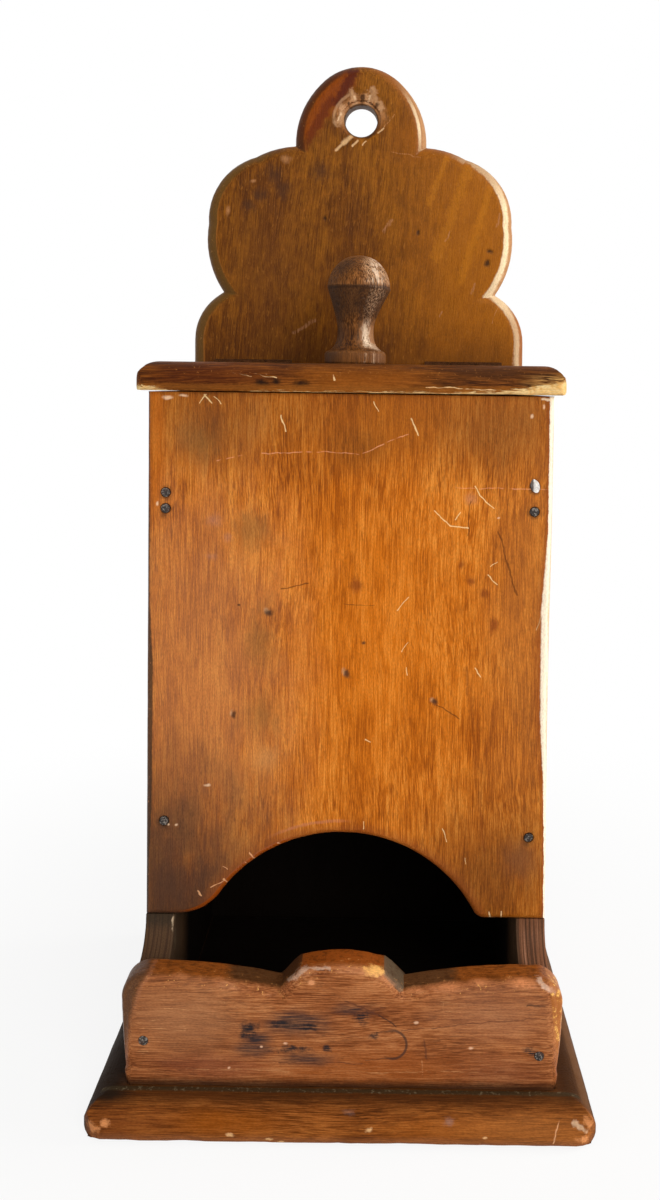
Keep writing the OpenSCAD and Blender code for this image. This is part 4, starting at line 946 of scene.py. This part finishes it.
def lid_finish():
    """The lid: dark brown with lengthways grain, its lower arris rubbed to pale yellow wood."""
    f = Finish("lid_wood", LENGTHWAYS, 71.0, ((46, 22, 6), (100, 52, 14), (146, 84, 28)))
    f.layer(f.pore, (46, 22, 6), 0.5)
    f.stains(LID_LIP, 20, [
        (-55, 290, 44, 8, 0.2, 0.3, (96, 42, 14), 0.5),
        (6, 289, 40, 8, 0.2, 0.4, (148, 80, 18), 0.6),
    ])
    f.stains(LID_ROLL, 16, [(60, 292, 34, 5, 0.2, 0.4, (74, 40, 14), 0.7)])
    front = f.fade(f.y, -33, -37)
    blots = [(-35.4, 286.6, 4.6, 2.0), (-30, 287.3, 4, 1.7), (-20, 286.6, 5, 1.9)]
    f.layer(f.both(front, f.spots(LID_FACE, blots, 0.2, 0.6)), (26, 16, 8), 0.92)
    f.layer(f.both(f.worn()["Fleck"], front), (196, 128, 60), 0.45)
    f.layer(f.both(f.fade(f.rough(f.z, f.fray, 0.8), 287, 285.6), front), (150, 88, 30), 0.5)
    edge = [(-87, 4.2), (-78, 3.4), (-70, 1.6), (-46, 1.6), (-36, 2.3), (40, 2.5), (58, 3.2), (70, 4.6)]
    reach = f.graph(f.x, edge + [(78, 6.0), (87, 7.6)], 10.0)
    over = f.sum("SUBTRACT", f.rough(f.sum("SUBTRACT", f.z, 281.8), f.fray, 1.1), reach)
    over = f.rough(over, f.fibre, 1.6)
    f.layer(f.both(f.fade(over, 0.3, -0.3), front), (246, 212, 150), 0.9)
    f.layer(f.both(f.fade(over, 1.0, 0.2), front, f.fade(f.fray, -0.1, 0.3)), (222, 160, 82), 0.7)
    right_end = f.both(f.fade(f.rough(f.x, f.drift, 6), 66, 84), f.fade(f.z, 293, 288))
    f.layer(f.both(right_end, f.fade(f.fibre, 0.35, 0.65), front), (236, 184, 106), 0.75)
    marks = [
        (-51.4, 292.6, -46.6, 290.4, 1.1), (-49, 293.4, -34, 290.4, 0.6), (-30, 291.4, -24, 290.6, 0.5),
        (30, 286, 58, 285.4, 0.6), (-47, 291, -40, 289.4, 0.6), (-42, 290.6, -30, 288.8, 0.6),
        (-7, 290.6, -6.6, 288.4, 1.0),
    ]
    f.layer(f.both(front, f.strokes(LID_FACE, marks, 0.3)), (244, 204, 146), 0.9)
    # Painted shade: the underside of the lid, behind its front edge, is painted near black.
    f.layer(f.both(f.fade(f.z, 284.2, 283.6), f.fade(f.y, -38, -34)), (30, 19, 11), 0.9)
    return f.seal(0.4, shine=0.05)


def side_finish():
    """The sides: brown as the back outside, grey and dry on the front edges, and painted near black inside
    for the shade in the box.
    """
    f = Finish("side_wood", UPRIGHT, 89.0, ((84, 44, 12), (122, 68, 20), (150, 90, 34)))
    f.layer(f.pore, (54, 28, 10), 0.55)
    edge = f.fade(f.y, -18, -24)
    f.layer(f.both(edge, f.fade(f.x, 60, -60)), (80, 60, 42), 0.9)
    f.layer(f.both(edge, f.fade(f.x, -60, 60)), (122, 80, 56), 0.9)
    rings = f.speckle((0.8, 60, 60), 2.0, 0.6)
    f.layer(f.both(edge, f.fade(rings, 0.5, 0.6)), (60, 40, 28), 0.75)
    f.layer(f.both(edge, f.fade(rings, 0.44, 0.36), f.fade(f.x, 0, 60)), (176, 128, 100), 0.6)
    # Painted shade: the left side's front edge is painted darker just under the panel.
    f.layer(f.both(edge, f.fade(f.rough(f.z, f.fray, 1.5), 60, 65), f.fade(f.x, 0, -60)), (52, 44, 34), 0.7)
    worn = f.worn()
    f.layer(f.both(worn["Fleck"], f.fade(f.y, -14, -22)), (196, 160, 124), 0.6)
    f.layer(f.stroke((-70.8, -35, 66), (-70.8, -33, 52), 1.8, 0.6), (222, 194, 160), 0.85)
    f.layer(f.both(worn["Mask"], f.fade(f.y, -10, -4)), (150, 98, 48), 0.5)
    inner = f.fade(f.size(f.x), 71.5, 70.6)
    f.layer(inner, (84, 64, 46), 0.9)
    # Painted shade: the inner faces darken to near black further into the box.
    f.layer(f.both(inner, f.fade(f.y, -24, 0)), INSIDE_SHADE)
    return f.seal(0.46)


def knob_finish():
    """The knob: turned dark hardwood with open grain, painted highlights on its right side, and painted shade
    under the head, on its left side and where it meets the lid.
    """
    f = Finish("knob_wood", UPRIGHT, 97.0, ((68, 36, 12), (122, 72, 28), (164, 106, 54)))
    open_grain = f.fade(f.speckle((0.7, 0.7, 9), 1.0, point=f.along), 0.55, 0.68)
    f.layer(open_grain, (38, 22, 10), 0.6)
    # Painted shade: the taper under the head is painted darker.
    taper = f.both(f.fade(f.rough(f.z, f.fray, 2), 311, 321), f.fade(f.rough(f.z, f.fray, 0.6), 331, 329.4))
    f.layer(taper, (64, 45, 32), 0.65)
    f.layer(f.patch((-4, 2, 339), (9, 12, 6), 0.0, 0.6), (56, 32, 14), 0.6)
    # Painted highlights: where the knob faces to the right it is painted paler, on the taper, neck, foot and
    # dome.
    turned = f.rough(f.aside, f.fray, 0.22)
    painted_highlight = f.both(f.fade(turned, 0.28, 0.5), f.fade(turned, 0.84, 0.6))
    neck = f.both(f.fade(f.rough(f.z, f.fray, 1.5), 301, 305), f.fade(f.rough(f.z, f.fray, 3), 317, 309))
    f.layer(f.both(painted_highlight, taper, f.fade(f.fibre, 0.45, 0.75)), (190, 152, 118), 0.6)
    f.layer(f.both(f.fade(turned, 0.0, 0.4), neck), (176, 126, 84), 0.6)
    f.layer(f.both(painted_highlight, neck, f.fade(f.fibre, 0.1, 0.5)), (250, 224, 194), 0.9)
    foot = f.fade(f.z, 302, 301)
    f.layer(foot, (146, 94, 50), 0.45)
    f.layer(f.both(painted_highlight, foot, f.fade(f.streak, 0.3, 0.7)), (216, 180, 146), 0.7)
    dome = f.fade(f.z, 330, 332)
    f.layer(f.both(dome, f.fade(turned, 0.0, 0.35), f.fade(f.fibre, 0.3, 0.7)), (206, 160, 118), 0.75)
    f.layer(f.both(dome, painted_highlight, f.fade(f.streak, 0.3, 0.7)), (240, 212, 184), 0.6)
    # Painted shade: the left side, the groove under the rim of the dome, and the foot where the knob meets
    # the lid are painted darker.
    f.layer(f.fade(f.aside, -0.1, -0.8), (54, 32, 16), 0.5)
    f.layer(f.band(f.z, 329.6, 1.0, 0.2), (50, 32, 20), 0.5)
    f.press(open_grain, -1.2)
    f.layer(f.fade(f.z, 297.2, 295.6), (46, 28, 14), 0.7)
    return f.seal(0.36, relief=0.16, shine=0.08)


RUST, RUST_STRENGTH = (86, 50, 30), 0.4
NAIL_SHADE, NAIL_SHADE_STRENGTH = (50, 34, 24), 0.92
NAIL_BRIGHT_X, NAIL_DARK_X = 74.7, 74.1
PIT_STRENGTH, PIT_DEPTH = 0.6, 0.1


def iron_finish(name, dark, light, metal, shine=0.5, shaded=False):
    """Forged iron, brown and pitted, with the brighter metal showing through."""
    f = Finish(name, UPRIGHT, 5.0, (dark, dark, light))
    pits = f.fade(f.speckle((0.7, 0.7, 0.7), 3.0, 0.6), 0.4, 0.65)
    rust = f.fade(f.speckle((2.5, 2.5, 2.5), 4.0, 0.6), 0.45, 0.65)
    f.colour = f.shades(pits, (dark, dark, light))
    f.layer(rust, RUST, RUST_STRENGTH)
    if shaded:
        left = f.fade(f.rough(f.x, f.fray, 0.3), NAIL_BRIGHT_X, NAIL_DARK_X)
        f.layer(left, NAIL_SHADE, NAIL_SHADE_STRENGTH)
    rough = f.fade(pits, 0.0, 1.0, 0.62, 0.38)
    bump = {"Height": pits, "Strength": PIT_STRENGTH, "Distance": PIT_DEPTH * MM}
    normal = f.add("ShaderNodeBump", bump).outputs["Normal"]
    surface = {"Base Color": f.colour, "Roughness": rough, "Normal": normal, "Metallic": metal}
    surface["Specular IOR Level"] = shine
    return f.close(surface)


def segment_gap(point, start, end):
    """Distance on an upright face from a point to a segment."""
    px, pz = point.x - start[0], point.z - start[1]
    rx, rz = end[0] - start[0], end[1] - start[1]
    share = unit((px * rx + pz * rz) / (rx * rx + rz * rz))
    return math.hypot(px - share * rx, pz - share * rz)


# The hanging hole: its scoop, its rubbed rim, the split below it and the two tears above it.
HOLE_REACH = 20
SCOOP_DEPTH, SCOOP_REACH, SCOOP_CURVE = 2.6, 7.5, 1.5
RIM_DEPTH, RIM_REACH = 0.35, 2.5
TEAR_DEPTH, SPLIT_REACH, TEAR_REACH = 0.9, 1.8, 1.6
SPLIT = ((-4.5, 409.8), (-12.6, 402.6))
TEARS = [((-1.5, 426), (-3.2, 432)), ((3.2, 426), (4.4, 431))]


def hole_wear(point, normal):
    """Where a peg has dragged at the hanging hole: a scoop and two tears above it, and a split below."""
    if normal.y > -0.2:
        return 0.0
    away = math.hypot(point.x - HANG_X, point.z - HANG_Z)
    if away > HOLE_REACH:
        return 0.0
    rise = max(0.0, (point.z - HANG_Z) / max(away, 1.0))
    past = max(0.0, away - HANG_R)
    scoop = SCOOP_DEPTH * rise * near(past, SCOOP_REACH) ** SCOOP_CURVE
    rim = RIM_DEPTH * near(past, RIM_REACH)
    split = TEAR_DEPTH * near(segment_gap(point, *SPLIT), SPLIT_REACH)
    tear = TEAR_DEPTH * near(min(segment_gap(point, *ends) for ends in TEARS), TEAR_REACH)
    return scoop + rim + split + tear


# The panel's right arris, rubbed most at hand height, and the dents of its face as places and reaches.
ARRIS_X, ARRIS_Y = 74, -30
HAND_HEIGHT, HAND_REACH, HAND_DEPTH, CORNER_REACH = 165, 42, 1.1, 5.0
DENT_DEPTH = 0.45
PANEL_DENTS = [(-32.5, 193.5, 2.2), (-0.9, 168.8, 2.2), (35, 157.4, 1.8), (-46.4, 151.2, 1.6)]


def panel_wear(point, normal):
    """The right arris is rubbed away most at hand height, and the face has a few dents."""
    sink = 0.0
    if point.y < ARRIS_Y and point.x > ARRIS_X:
        swell = math.exp(-(((point.z - HAND_HEIGHT) / HAND_REACH) ** 2))
        corner = near(math.hypot(point.x + PANEL_LEFT, point.y - PANEL_FACE), CORNER_REACH)
        sink += HAND_DEPTH * swell * corner
    if normal.y < -0.5:
        for x, z, reach in PANEL_DENTS:
            sink += DENT_DEPTH * near(math.hypot(point.x - x, point.z - z), reach)
    return sink


# The trough board's outline: its corner, its bowed end, its wing, its crown and the slope beside the crown.
CORNER_X, CORNER_Z, CORNER_R = 76, 47.5, 10
BOW_X, BOW_R = -124.1, 210
WING_Z, WING_R = -215.5, 272.9
CROWN_Z, CROWN_R = 2.5, 60
SLOPE_SUM, SLOPE_BLEND = 76.5, 3.0


def trough_gap(x, z):
    """How deep a place lies inside the outline of the trough board."""
    x = abs(x)
    if x > CORNER_X:
        if z > CORNER_Z:
            return CORNER_R - math.hypot(x - CORNER_X, z - CORNER_Z)
        return BOW_R - math.hypot(x - BOW_X, z - CORNER_Z)
    wing = WING_R - math.hypot(x - CORNER_X, z - WING_Z)
    arc = CROWN_R - math.hypot(x, z - CROWN_Z)
    slope = (SLOPE_SUM - x - z) / math.sqrt(2)
    blend = max(0.0, SLOPE_BLEND - abs(arc - slope)) / SLOPE_BLEND
    return max(wing, min(arc, slope) - 0.5 * blend * blend)


ROUND_FROM = 20
PROBE = 0.1


def round_over(work, gap, face, radius):
    """Rubs the front arris of a board round, by how deep each point lies inside the outline and the face."""
    for vert in work.verts:
        x, z = vert.co.x / MM, vert.co.z / MM
        back, inside = vert.co.y / MM - face, max(0.0, gap(x, z))
        if back >= radius or inside >= radius or z < ROUND_FROM:
            continue
        over = math.hypot(radius - back, radius - inside)
        if over <= radius:
            continue
        across = gap(x + PROBE, z) - gap(x - PROBE, z)
        upwards = gap(x, z + PROBE) - gap(x, z - PROBE)
        move = Vector((across, 0, upwards)).normalized() * (radius - inside) * (1 - radius / over)
        move.y = (radius - back) * (1 - radius / over)
        vert.co += move * MM


# The trough's rubbed crown and shoulder as middle, reach and depth, and its ends, rounded more higher up.
RUBBED = [(10, 60, 16, 6, 0.8), (78, 55, 12, 9, 0.6)]
RUBBED_SIZE, RUBBED_SEED = 5, 3
END_X, END_FROM, END_RUN = 86, 18, 30
END_LEAST, END_MORE, END_BACK = 2.0, 6.0, 4
END_DEPTH, END_CURVE = 1.9, 1.4


def trough_wear(point, normal):
    """Hands have rounded the ends of the trough, most at its upper corners, and worn its crown."""
    rubbed = 0.0
    for x, z, wide, tall, depth in RUBBED:
        rubbed += depth * near(math.hypot((point.x - x) / wide, (point.z - z) / tall))
    sink = rubbed * (0.5 + 0.5 * bumpy(point * MM, RUBBED_SIZE, RUBBED_SEED))
    reach = END_LEAST + END_MORE * unit((point.z - END_FROM) / END_RUN)
    end = near(math.hypot((END_X - abs(point.x)) / reach, (point.y - TROUGH_FACE) / END_BACK))
    return sink + END_DEPTH * end ** END_CURVE


# The base's knocks, and its front corners with their reach sideways and upwards.
KNOCK_REACH, KNOCK_DEPTH, KNOCK_SIZE, KNOCK_SEED = 9, 0.9, 17, 41
BASE_HALF, BASE_LOW = 98, 1
FOOT_REACH, FOOT_RISE, FOOT_DEPTH = 7, 9, 2.0


def base_wear(point, normal):
    """Knocks along the front of the base and two corners rounded from below."""
    front = near(abs(point.y - BASE_FACE), KNOCK_REACH)
    knock = max(0.0, bumpy(point * MM, KNOCK_SIZE, KNOCK_SEED)) ** 2
    side, back = (BASE_HALF - abs(point.x)) / FOOT_REACH, (point.y - BASE_FACE) / FOOT_REACH
    away = Vector((side, back, (point.z - BASE_LOW) / FOOT_RISE)).length
    return front * KNOCK_DEPTH * knock + FOOT_DEPTH * near(away)


# The lid's chipped arris: where it lies, how far chips reach, and how they grow from left to right.
CHIP_Z, CHIP_BACK, CHIP_UP = 284, 5, 3
CHIP_LEAST, CHIP_MORE, CHIP_FROM, CHIP_RUN = 0.35, 0.65, 10, 70
CHIP_SIZE, CHIP_SEED, CHIP_LIFT = 8, 61, 0.2
NICK_SIZE, NICK_SEED, NICK_SHARE = 2.6, 67, 0.5


def lid_wear(point, normal):
    """The lower front arris of the lid is chipped, most at the right end."""
    low = near(math.hypot((point.y - LID_FACE) / CHIP_BACK, (point.z - CHIP_Z) / CHIP_UP))
    right = CHIP_LEAST + CHIP_MORE * unit((point.x - CHIP_FROM) / CHIP_RUN)
    chip = max(0.0, bumpy(point * MM, CHIP_SIZE, CHIP_SEED) + CHIP_LIFT)
    chip += NICK_SHARE * max(0.0, bumpy(point * MM, NICK_SIZE, NICK_SEED))
    return low * right * chip


# Each board with its body, slot, finish, the axis across it, how deep its arrises wear and its dents.
X_AXIS, Y_AXIS, Z_AXIS = 0, 1, 2
BOARDS = [
    ("back_board", "box", "back_wood", back_finish, Y_AXIS, 0.4, hole_wear),
    ("left_side", "box", "side_wood", side_finish, X_AXIS, 0.35, None),
    ("right_side", "box", "side_wood", side_finish, X_AXIS, 0.35, None),
    ("front_panel", "box", "panel_wood", panel_finish, Y_AXIS, 0.3, panel_wear),
    ("trough_front", "box", "trough_wood", trough_finish, Y_AXIS, 0.4, trough_wear),
    ("base_board", "box", "base_wood", base_finish, Z_AXIS, 0.4, base_wear),
    ("lid", "lid", "lid_wood", lid_finish, Z_AXIS, 0.35, lid_wear),
]
SEED_STEP = 3.1
ARRIS_WIDTH = 0.35
TROUGH_ROUND = 5.0

# Grid steps: the whole board, the roll of the trough, and the face round the hanging hole.
GRID_STEP, ROLL_STEP, HOLE_STEP = 2.5, 1.25, 0.8
ROLL_LOW, ROLL_HIGH = (-87, -66.5, 42), (87, -58, 63)
HOLE_LOW, HOLE_HIGH = (HANG_X - 18, 60, HANG_Z - 18), (HANG_X + 18, 66.3, HANG_Z + 18)


def make_boards():
    """Every board of the box, in its own finish."""
    finishes = {}
    for count, (node, body, slot, finish, across, depth, dents) in enumerate(BOARDS, 1):
        work = board_copy(node)
        if node != "trough_front":
            soften(work, ARRIS_WIDTH)
        rule_all(work, GRID_STEP)
        if node == "trough_front":
            rule(work, ROLL_STEP, ROLL_LOW, ROLL_HIGH, (Y_AXIS, Z_AXIS))
            round_over(work, trough_gap, TROUGH_FACE, TROUGH_ROUND)
        if node == "back_board":
            rule(work, HOLE_STEP, HOLE_LOW, HOLE_HIGH)
        close_slivers(work)
        wear(work, across, depth, SEED_STEP * count, dents)
        if slot not in finishes:
            finishes[slot] = finish()
        set_down(work, node + "_worn", node, body, finishes[slot])


# The knob's half outline as radius and height above the lid, with its tenon below.
KNOB_PROFILE = [
    (0, -9.5), (4.6, -9.5), (5.0, -9.0), (5.0, 0.1), (12.6, 0.1), (13.4, 0.5), (13.8, 1.3), (13.8, 4.9),
    (13.5, 5.7), (12.8, 6.3), (12.0, 6.5), (11.5, 6.9), (10.6, 7.6), (9.6, 8.7), (8.8, 10.2), (8.3, 12.0),
    (8.05, 14.0), (8.05, 15.8), (8.3, 18.0), (8.9, 20.6), (9.8, 23.4), (10.9, 26.4), (12.1, 29.4),
    (13.2, 32.0), (13.9, 33.7), (14.25, 34.4), (14.3, 34.8), (14.1, 35.2), (14.0, 36.4), (13.7, 38.0),
    (13.1, 39.9), (12.2, 41.8), (10.9, 43.7), (9.2, 45.6), (7.0, 47.3), (4.6, 48.4), (2.2, 48.9), (0, 49.0),
]
KNOB_STEPS = 96
KNOB_Y, LID_TOP = 12.25, 295.3
KNOB_LEAN, LEAN_FROM, LEAN_RUN, LEAN_PIVOT = math.radians(3.5), 12, 24, 14
RIDGE_FROM, RIDGE_SHARE, RIDGE_SIZE, RIDGE_SEED = 0.5, 0.012, 7, 5.0
SPUN_MERGE = 0.01 * MM


def outline(work, profile):
    """The points and edges of a half outline, ready to be spun about Z."""
    verts = [work.verts.new((radius * MM, 0, height * MM)) for radius, height in profile]
    return verts, [work.edges.new(pair) for pair in zip(verts, verts[1:])]


def spin(work, geom, steps):
    """Spins a half outline into a closed round."""
    bmesh.ops.spin(
        work, geom=geom, cent=(0, 0, 0), axis=(0, 0, 1), angle=math.tau, steps=steps, use_merge=True,
    )


def make_knob():
    """A knob turned by hand: its head leans a little and its skin keeps the tool's ridges."""
    work = bmesh.new()
    bmesh.ops.subdivide_edges(work, edges=outline(work, KNOB_PROFILE)[1], cuts=1)
    spin(work, work.verts[:] + work.edges[:], KNOB_STEPS)
    bmesh.ops.remove_doubles(work, verts=work.verts, dist=SPUN_MERGE)
    bmesh.ops.recalc_face_normals(work, faces=work.faces)
    pivot = Vector((0, 0, LEAN_PIVOT * MM))
    for vert in work.verts:
        height = vert.co.z / MM
        share = unit((height - LEAN_FROM) / LEAN_RUN)
        turn = Matrix.Rotation(KNOB_LEAN * share * share * (3 - 2 * share), 4, "Y")
        vert.co = pivot + turn @ (vert.co - pivot)
        if height > RIDGE_FROM:
            away = Vector((vert.co.x, vert.co.y, 0))
            vert.co -= away * RIDGE_SHARE * (0.5 + 0.5 * bumpy(vert.co, RIDGE_SIZE, RIDGE_SEED))
    bmesh.ops.translate(work, verts=work.verts, vec=Vector((0, KNOB_Y, LID_TOP)) * MM)
    work.normal_update()
    aside = work.verts.layers.float.new("aside")
    for vert in work.verts:
        vert[aside] = facing(vert).x
    set_down(work, "knob_turned", "knob", "lid", knob_finish())


# Nails: half outline, places on each face with how tall the head is, and how a hammered head is dressed.
NAIL_PROFILE = [
    (0, 0.05), (0.8, 0.04), (1.45, 0.0), (1.78, -0.08), (1.88, -0.3), (1.85, -0.95), (1.0, -1.0),
    (1.0, -26.0), (0, -28.0),
]
NAIL_STEPS = 28
HEAD_FOOT, DINT_SHARE, DINT_SIZE, DINT_SEED = -0.99, 0.08, 1.2, 2.0
NAIL_TURN = 0.15
BRIGHT_FROM = 1.5
PANEL_NAILS = [
    (-75, 242, 1.0), (-75, 235.5, 1.0), (75, 246.5, 1.7), (75, 236, 1.0), (-75, 106.5, 1.0), (75, 101.5, 0.9),
]
TROUGH_NAILS = [(-76.5, 32.5, 1.0), (76.5, 28.5, 1.0)]


def drive_nail(work, x, z, face, tall, turn, material_index):
    """One hammered nail driven straight back into an upright face."""
    before = set(work.verts)
    verts, edges = outline(work, NAIL_PROFILE)
    spin(work, verts + edges, NAIL_STEPS)
    made = [v for v in work.verts if v not in before]
    bmesh.ops.remove_doubles(work, verts=made, dist=SPUN_MERGE)
    made = [v for v in work.verts if v not in before]
    for vert in made:
        if vert.co.z > HEAD_FOOT * MM:
            vert.co.y *= tall
            dint = bumpy(vert.co + Vector((x, z, 0)) * MM, DINT_SIZE, DINT_SEED)
            vert.co.x *= 1 - DINT_SHARE * dint ** 2
    bmesh.ops.rotate(work, verts=made, cent=(0, 0, 0), matrix=Matrix.Rotation(turn, 3, "Z"))
    bmesh.ops.rotate(work, verts=made, cent=(0, 0, 0), matrix=Matrix.Rotation(math.radians(90), 3, "X"))
    bmesh.ops.translate(work, verts=made, vec=Vector((x, face, z)) * MM)
    for face_made in {f for v in made for f in v.link_faces}:
        face_made.material_index = material_index


def make_nails(rusty, bright):
    """The nails that show on the panel and the trough, with one head rubbed bright."""
    for name, node, face, places in (
        ("panel_nail_heads", "panel_nails", PANEL_FACE, PANEL_NAILS),
        ("trough_nail_heads", "trough_nails", TROUGH_FACE, TROUGH_NAILS),
    ):
        work = bmesh.new()
        for i, (x, z, tall) in enumerate(places):
            drive_nail(work, x, z, face, tall, NAIL_TURN * i, 1 if tall > BRIGHT_FROM else 0)
        bmesh.ops.recalc_face_normals(work, faces=work.faces)
        piece = set_down(work, name, node, "box", rusty)
        piece.data.materials.append(bright)


def dress_hardware(iron, rusty):
    """The hinges, their pins and screws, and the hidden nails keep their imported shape."""
    for name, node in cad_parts.items():
        if "hinge" in name or "screws" in name:
            finish = iron
        elif name in ("back_nails", "base_nails"):
            finish = rusty
        else:
            continue
        node.data.materials.clear()
        node.data.materials.append(finish)


# Studio: lengths here are in metres.
WHITE = (1, 1, 1, 1)
FLOOR_HALF, FLOOR_DROP = 12, 0.3 * MM
FLOOR_TONE = (0.86, 0.85, 0.83, 1)
SHADOW_NEAR, SHADOW_FAR, SHADOW_WHITE = 0.12, 0.45, 0.88
AMBIENT, AMBIENT_TONE = 0.25, (1, 0.98, 0.95, 1)

# Window light from the right, a broad key from the front, and weak fills from the left and above.
LIGHTS = [
    ("key", (0.75, -1.5, 0.95), (0, 0, 0.22), (0.9, 1.1), 20, (1, 0.98, 0.94)),
    ("window", (1.35, 0.15, 0.5), (0, 0, 0.24), (0.5, 1.2), 17, (1, 0.98, 0.95)),
    ("fill", (-1.3, -0.9, 0.5), (0, 0, 0.2), (0.9, 0.9), 3.5, (0.95, 0.97, 1)),
    ("top", (0.2, -0.3, 1.7), (0, 0, 0.2), (1.0, 1.0), 3.5, (1, 0.99, 0.97)),
]


def make_light(name, place, aim, size, power, tint):
    """A soft rectangular studio light."""
    data = bpy.data.lights.new(name, "AREA")
    data.shape = "RECTANGLE"
    data.size, data.size_y = size
    data.energy = power
    data.color = tint
    lamp = bpy.data.objects.new(name, data)
    lamp.location = place
    lamp.rotation_mode = "QUATERNION"
    lamp.rotation_quaternion = (Vector(aim) - Vector(place)).to_track_quat("-Z", "Y")
    lamp.visible_camera = False
    bpy.context.scene.collection.objects.link(lamp)


def seen_directly(tree):
    """1 for what the camera sees itself, in a reflection or through something clear."""
    path = add(tree, "ShaderNodeLightPath").outputs
    seen = sum_of(tree, "MAXIMUM", path["Is Camera Ray"], path["Is Glossy Ray"])
    return sum_of(tree, "MAXIMUM", seen, path["Is Transmission Ray"])


def make_floor():
    """A plain pale floor that shows white to the camera and still takes the shadow."""
    work = bmesh.new()
    bmesh.ops.create_grid(work, x_segments=1, y_segments=1, size=FLOOR_HALF)
    bmesh.ops.translate(work, verts=work.verts, vec=(0, 0, -FLOOR_DROP))
    mesh = bpy.data.meshes.new("floor")
    work.to_mesh(mesh)
    work.free()
    floor = bpy.data.objects.new("floor", mesh)
    bpy.context.scene.collection.objects.link(floor)
    material = bpy.data.materials.new("pale_floor")
    material.use_nodes = True
    tree = material.node_tree
    tree.nodes.clear()
    seen = seen_directly(tree)
    matt = add(tree, "ShaderNodeBsdfDiffuse", {"Color": FLOOR_TONE}).outputs[0]
    white = add(tree, "ShaderNodeEmission", {"Color": WHITE, "Strength": 1.0}).outputs[0]
    place = add(tree, "ShaderNodeTexCoord").outputs["Object"]
    away = add(tree, "ShaderNodeVectorMath", {0: place}, operation="LENGTH").outputs["Value"]
    share = sum_of(tree, "MULTIPLY", seen, fade(tree, away, SHADOW_NEAR, SHADOW_FAR, SHADOW_WHITE, 1.0))
    mixed = add(tree, "ShaderNodeMixShader", {0: share, 1: matt, 2: white}).outputs[0]
    tree.links.new(mixed, add(tree, "ShaderNodeOutputMaterial").inputs["Surface"])
    mesh.materials.append(material)


def make_world():
    """A white surround for what the camera sees, and an even low light for the object."""
    world = bpy.data.worlds.new("studio")
    bpy.context.scene.world = world
    world.use_nodes = True
    tree = world.node_tree
    tree.nodes.clear()
    seen = seen_directly(tree)
    fill = add(tree, "ShaderNodeBackground", {"Color": AMBIENT_TONE, "Strength": AMBIENT}).outputs[0]
    white = add(tree, "ShaderNodeBackground", {"Color": WHITE, "Strength": 1.0}).outputs[0]
    mixed = add(tree, "ShaderNodeMixShader", {0: seen, 1: fill, 2: white}).outputs[0]
    tree.links.new(mixed, add(tree, "ShaderNodeOutputWorld").inputs["Surface"])


bpy.context.scene.view_settings.view_transform = "Standard"
make_camera()
make_boards()
make_knob()
hinge_iron = iron_finish("hinge_iron", (52, 28, 10), (74, 44, 16), 0.0, shine=0.05)
nail_iron = iron_finish("nail_iron", (36, 28, 24), (122, 114, 106), 0.3)
bright_iron = iron_finish("bright_iron", (226, 222, 216), (250, 248, 244), 0.0, shaded=True)
make_nails(nail_iron, bright_iron)
dress_hardware(hinge_iron, nail_iron)
make_floor()
make_world()
for light in LIGHTS:
    make_light(*light)
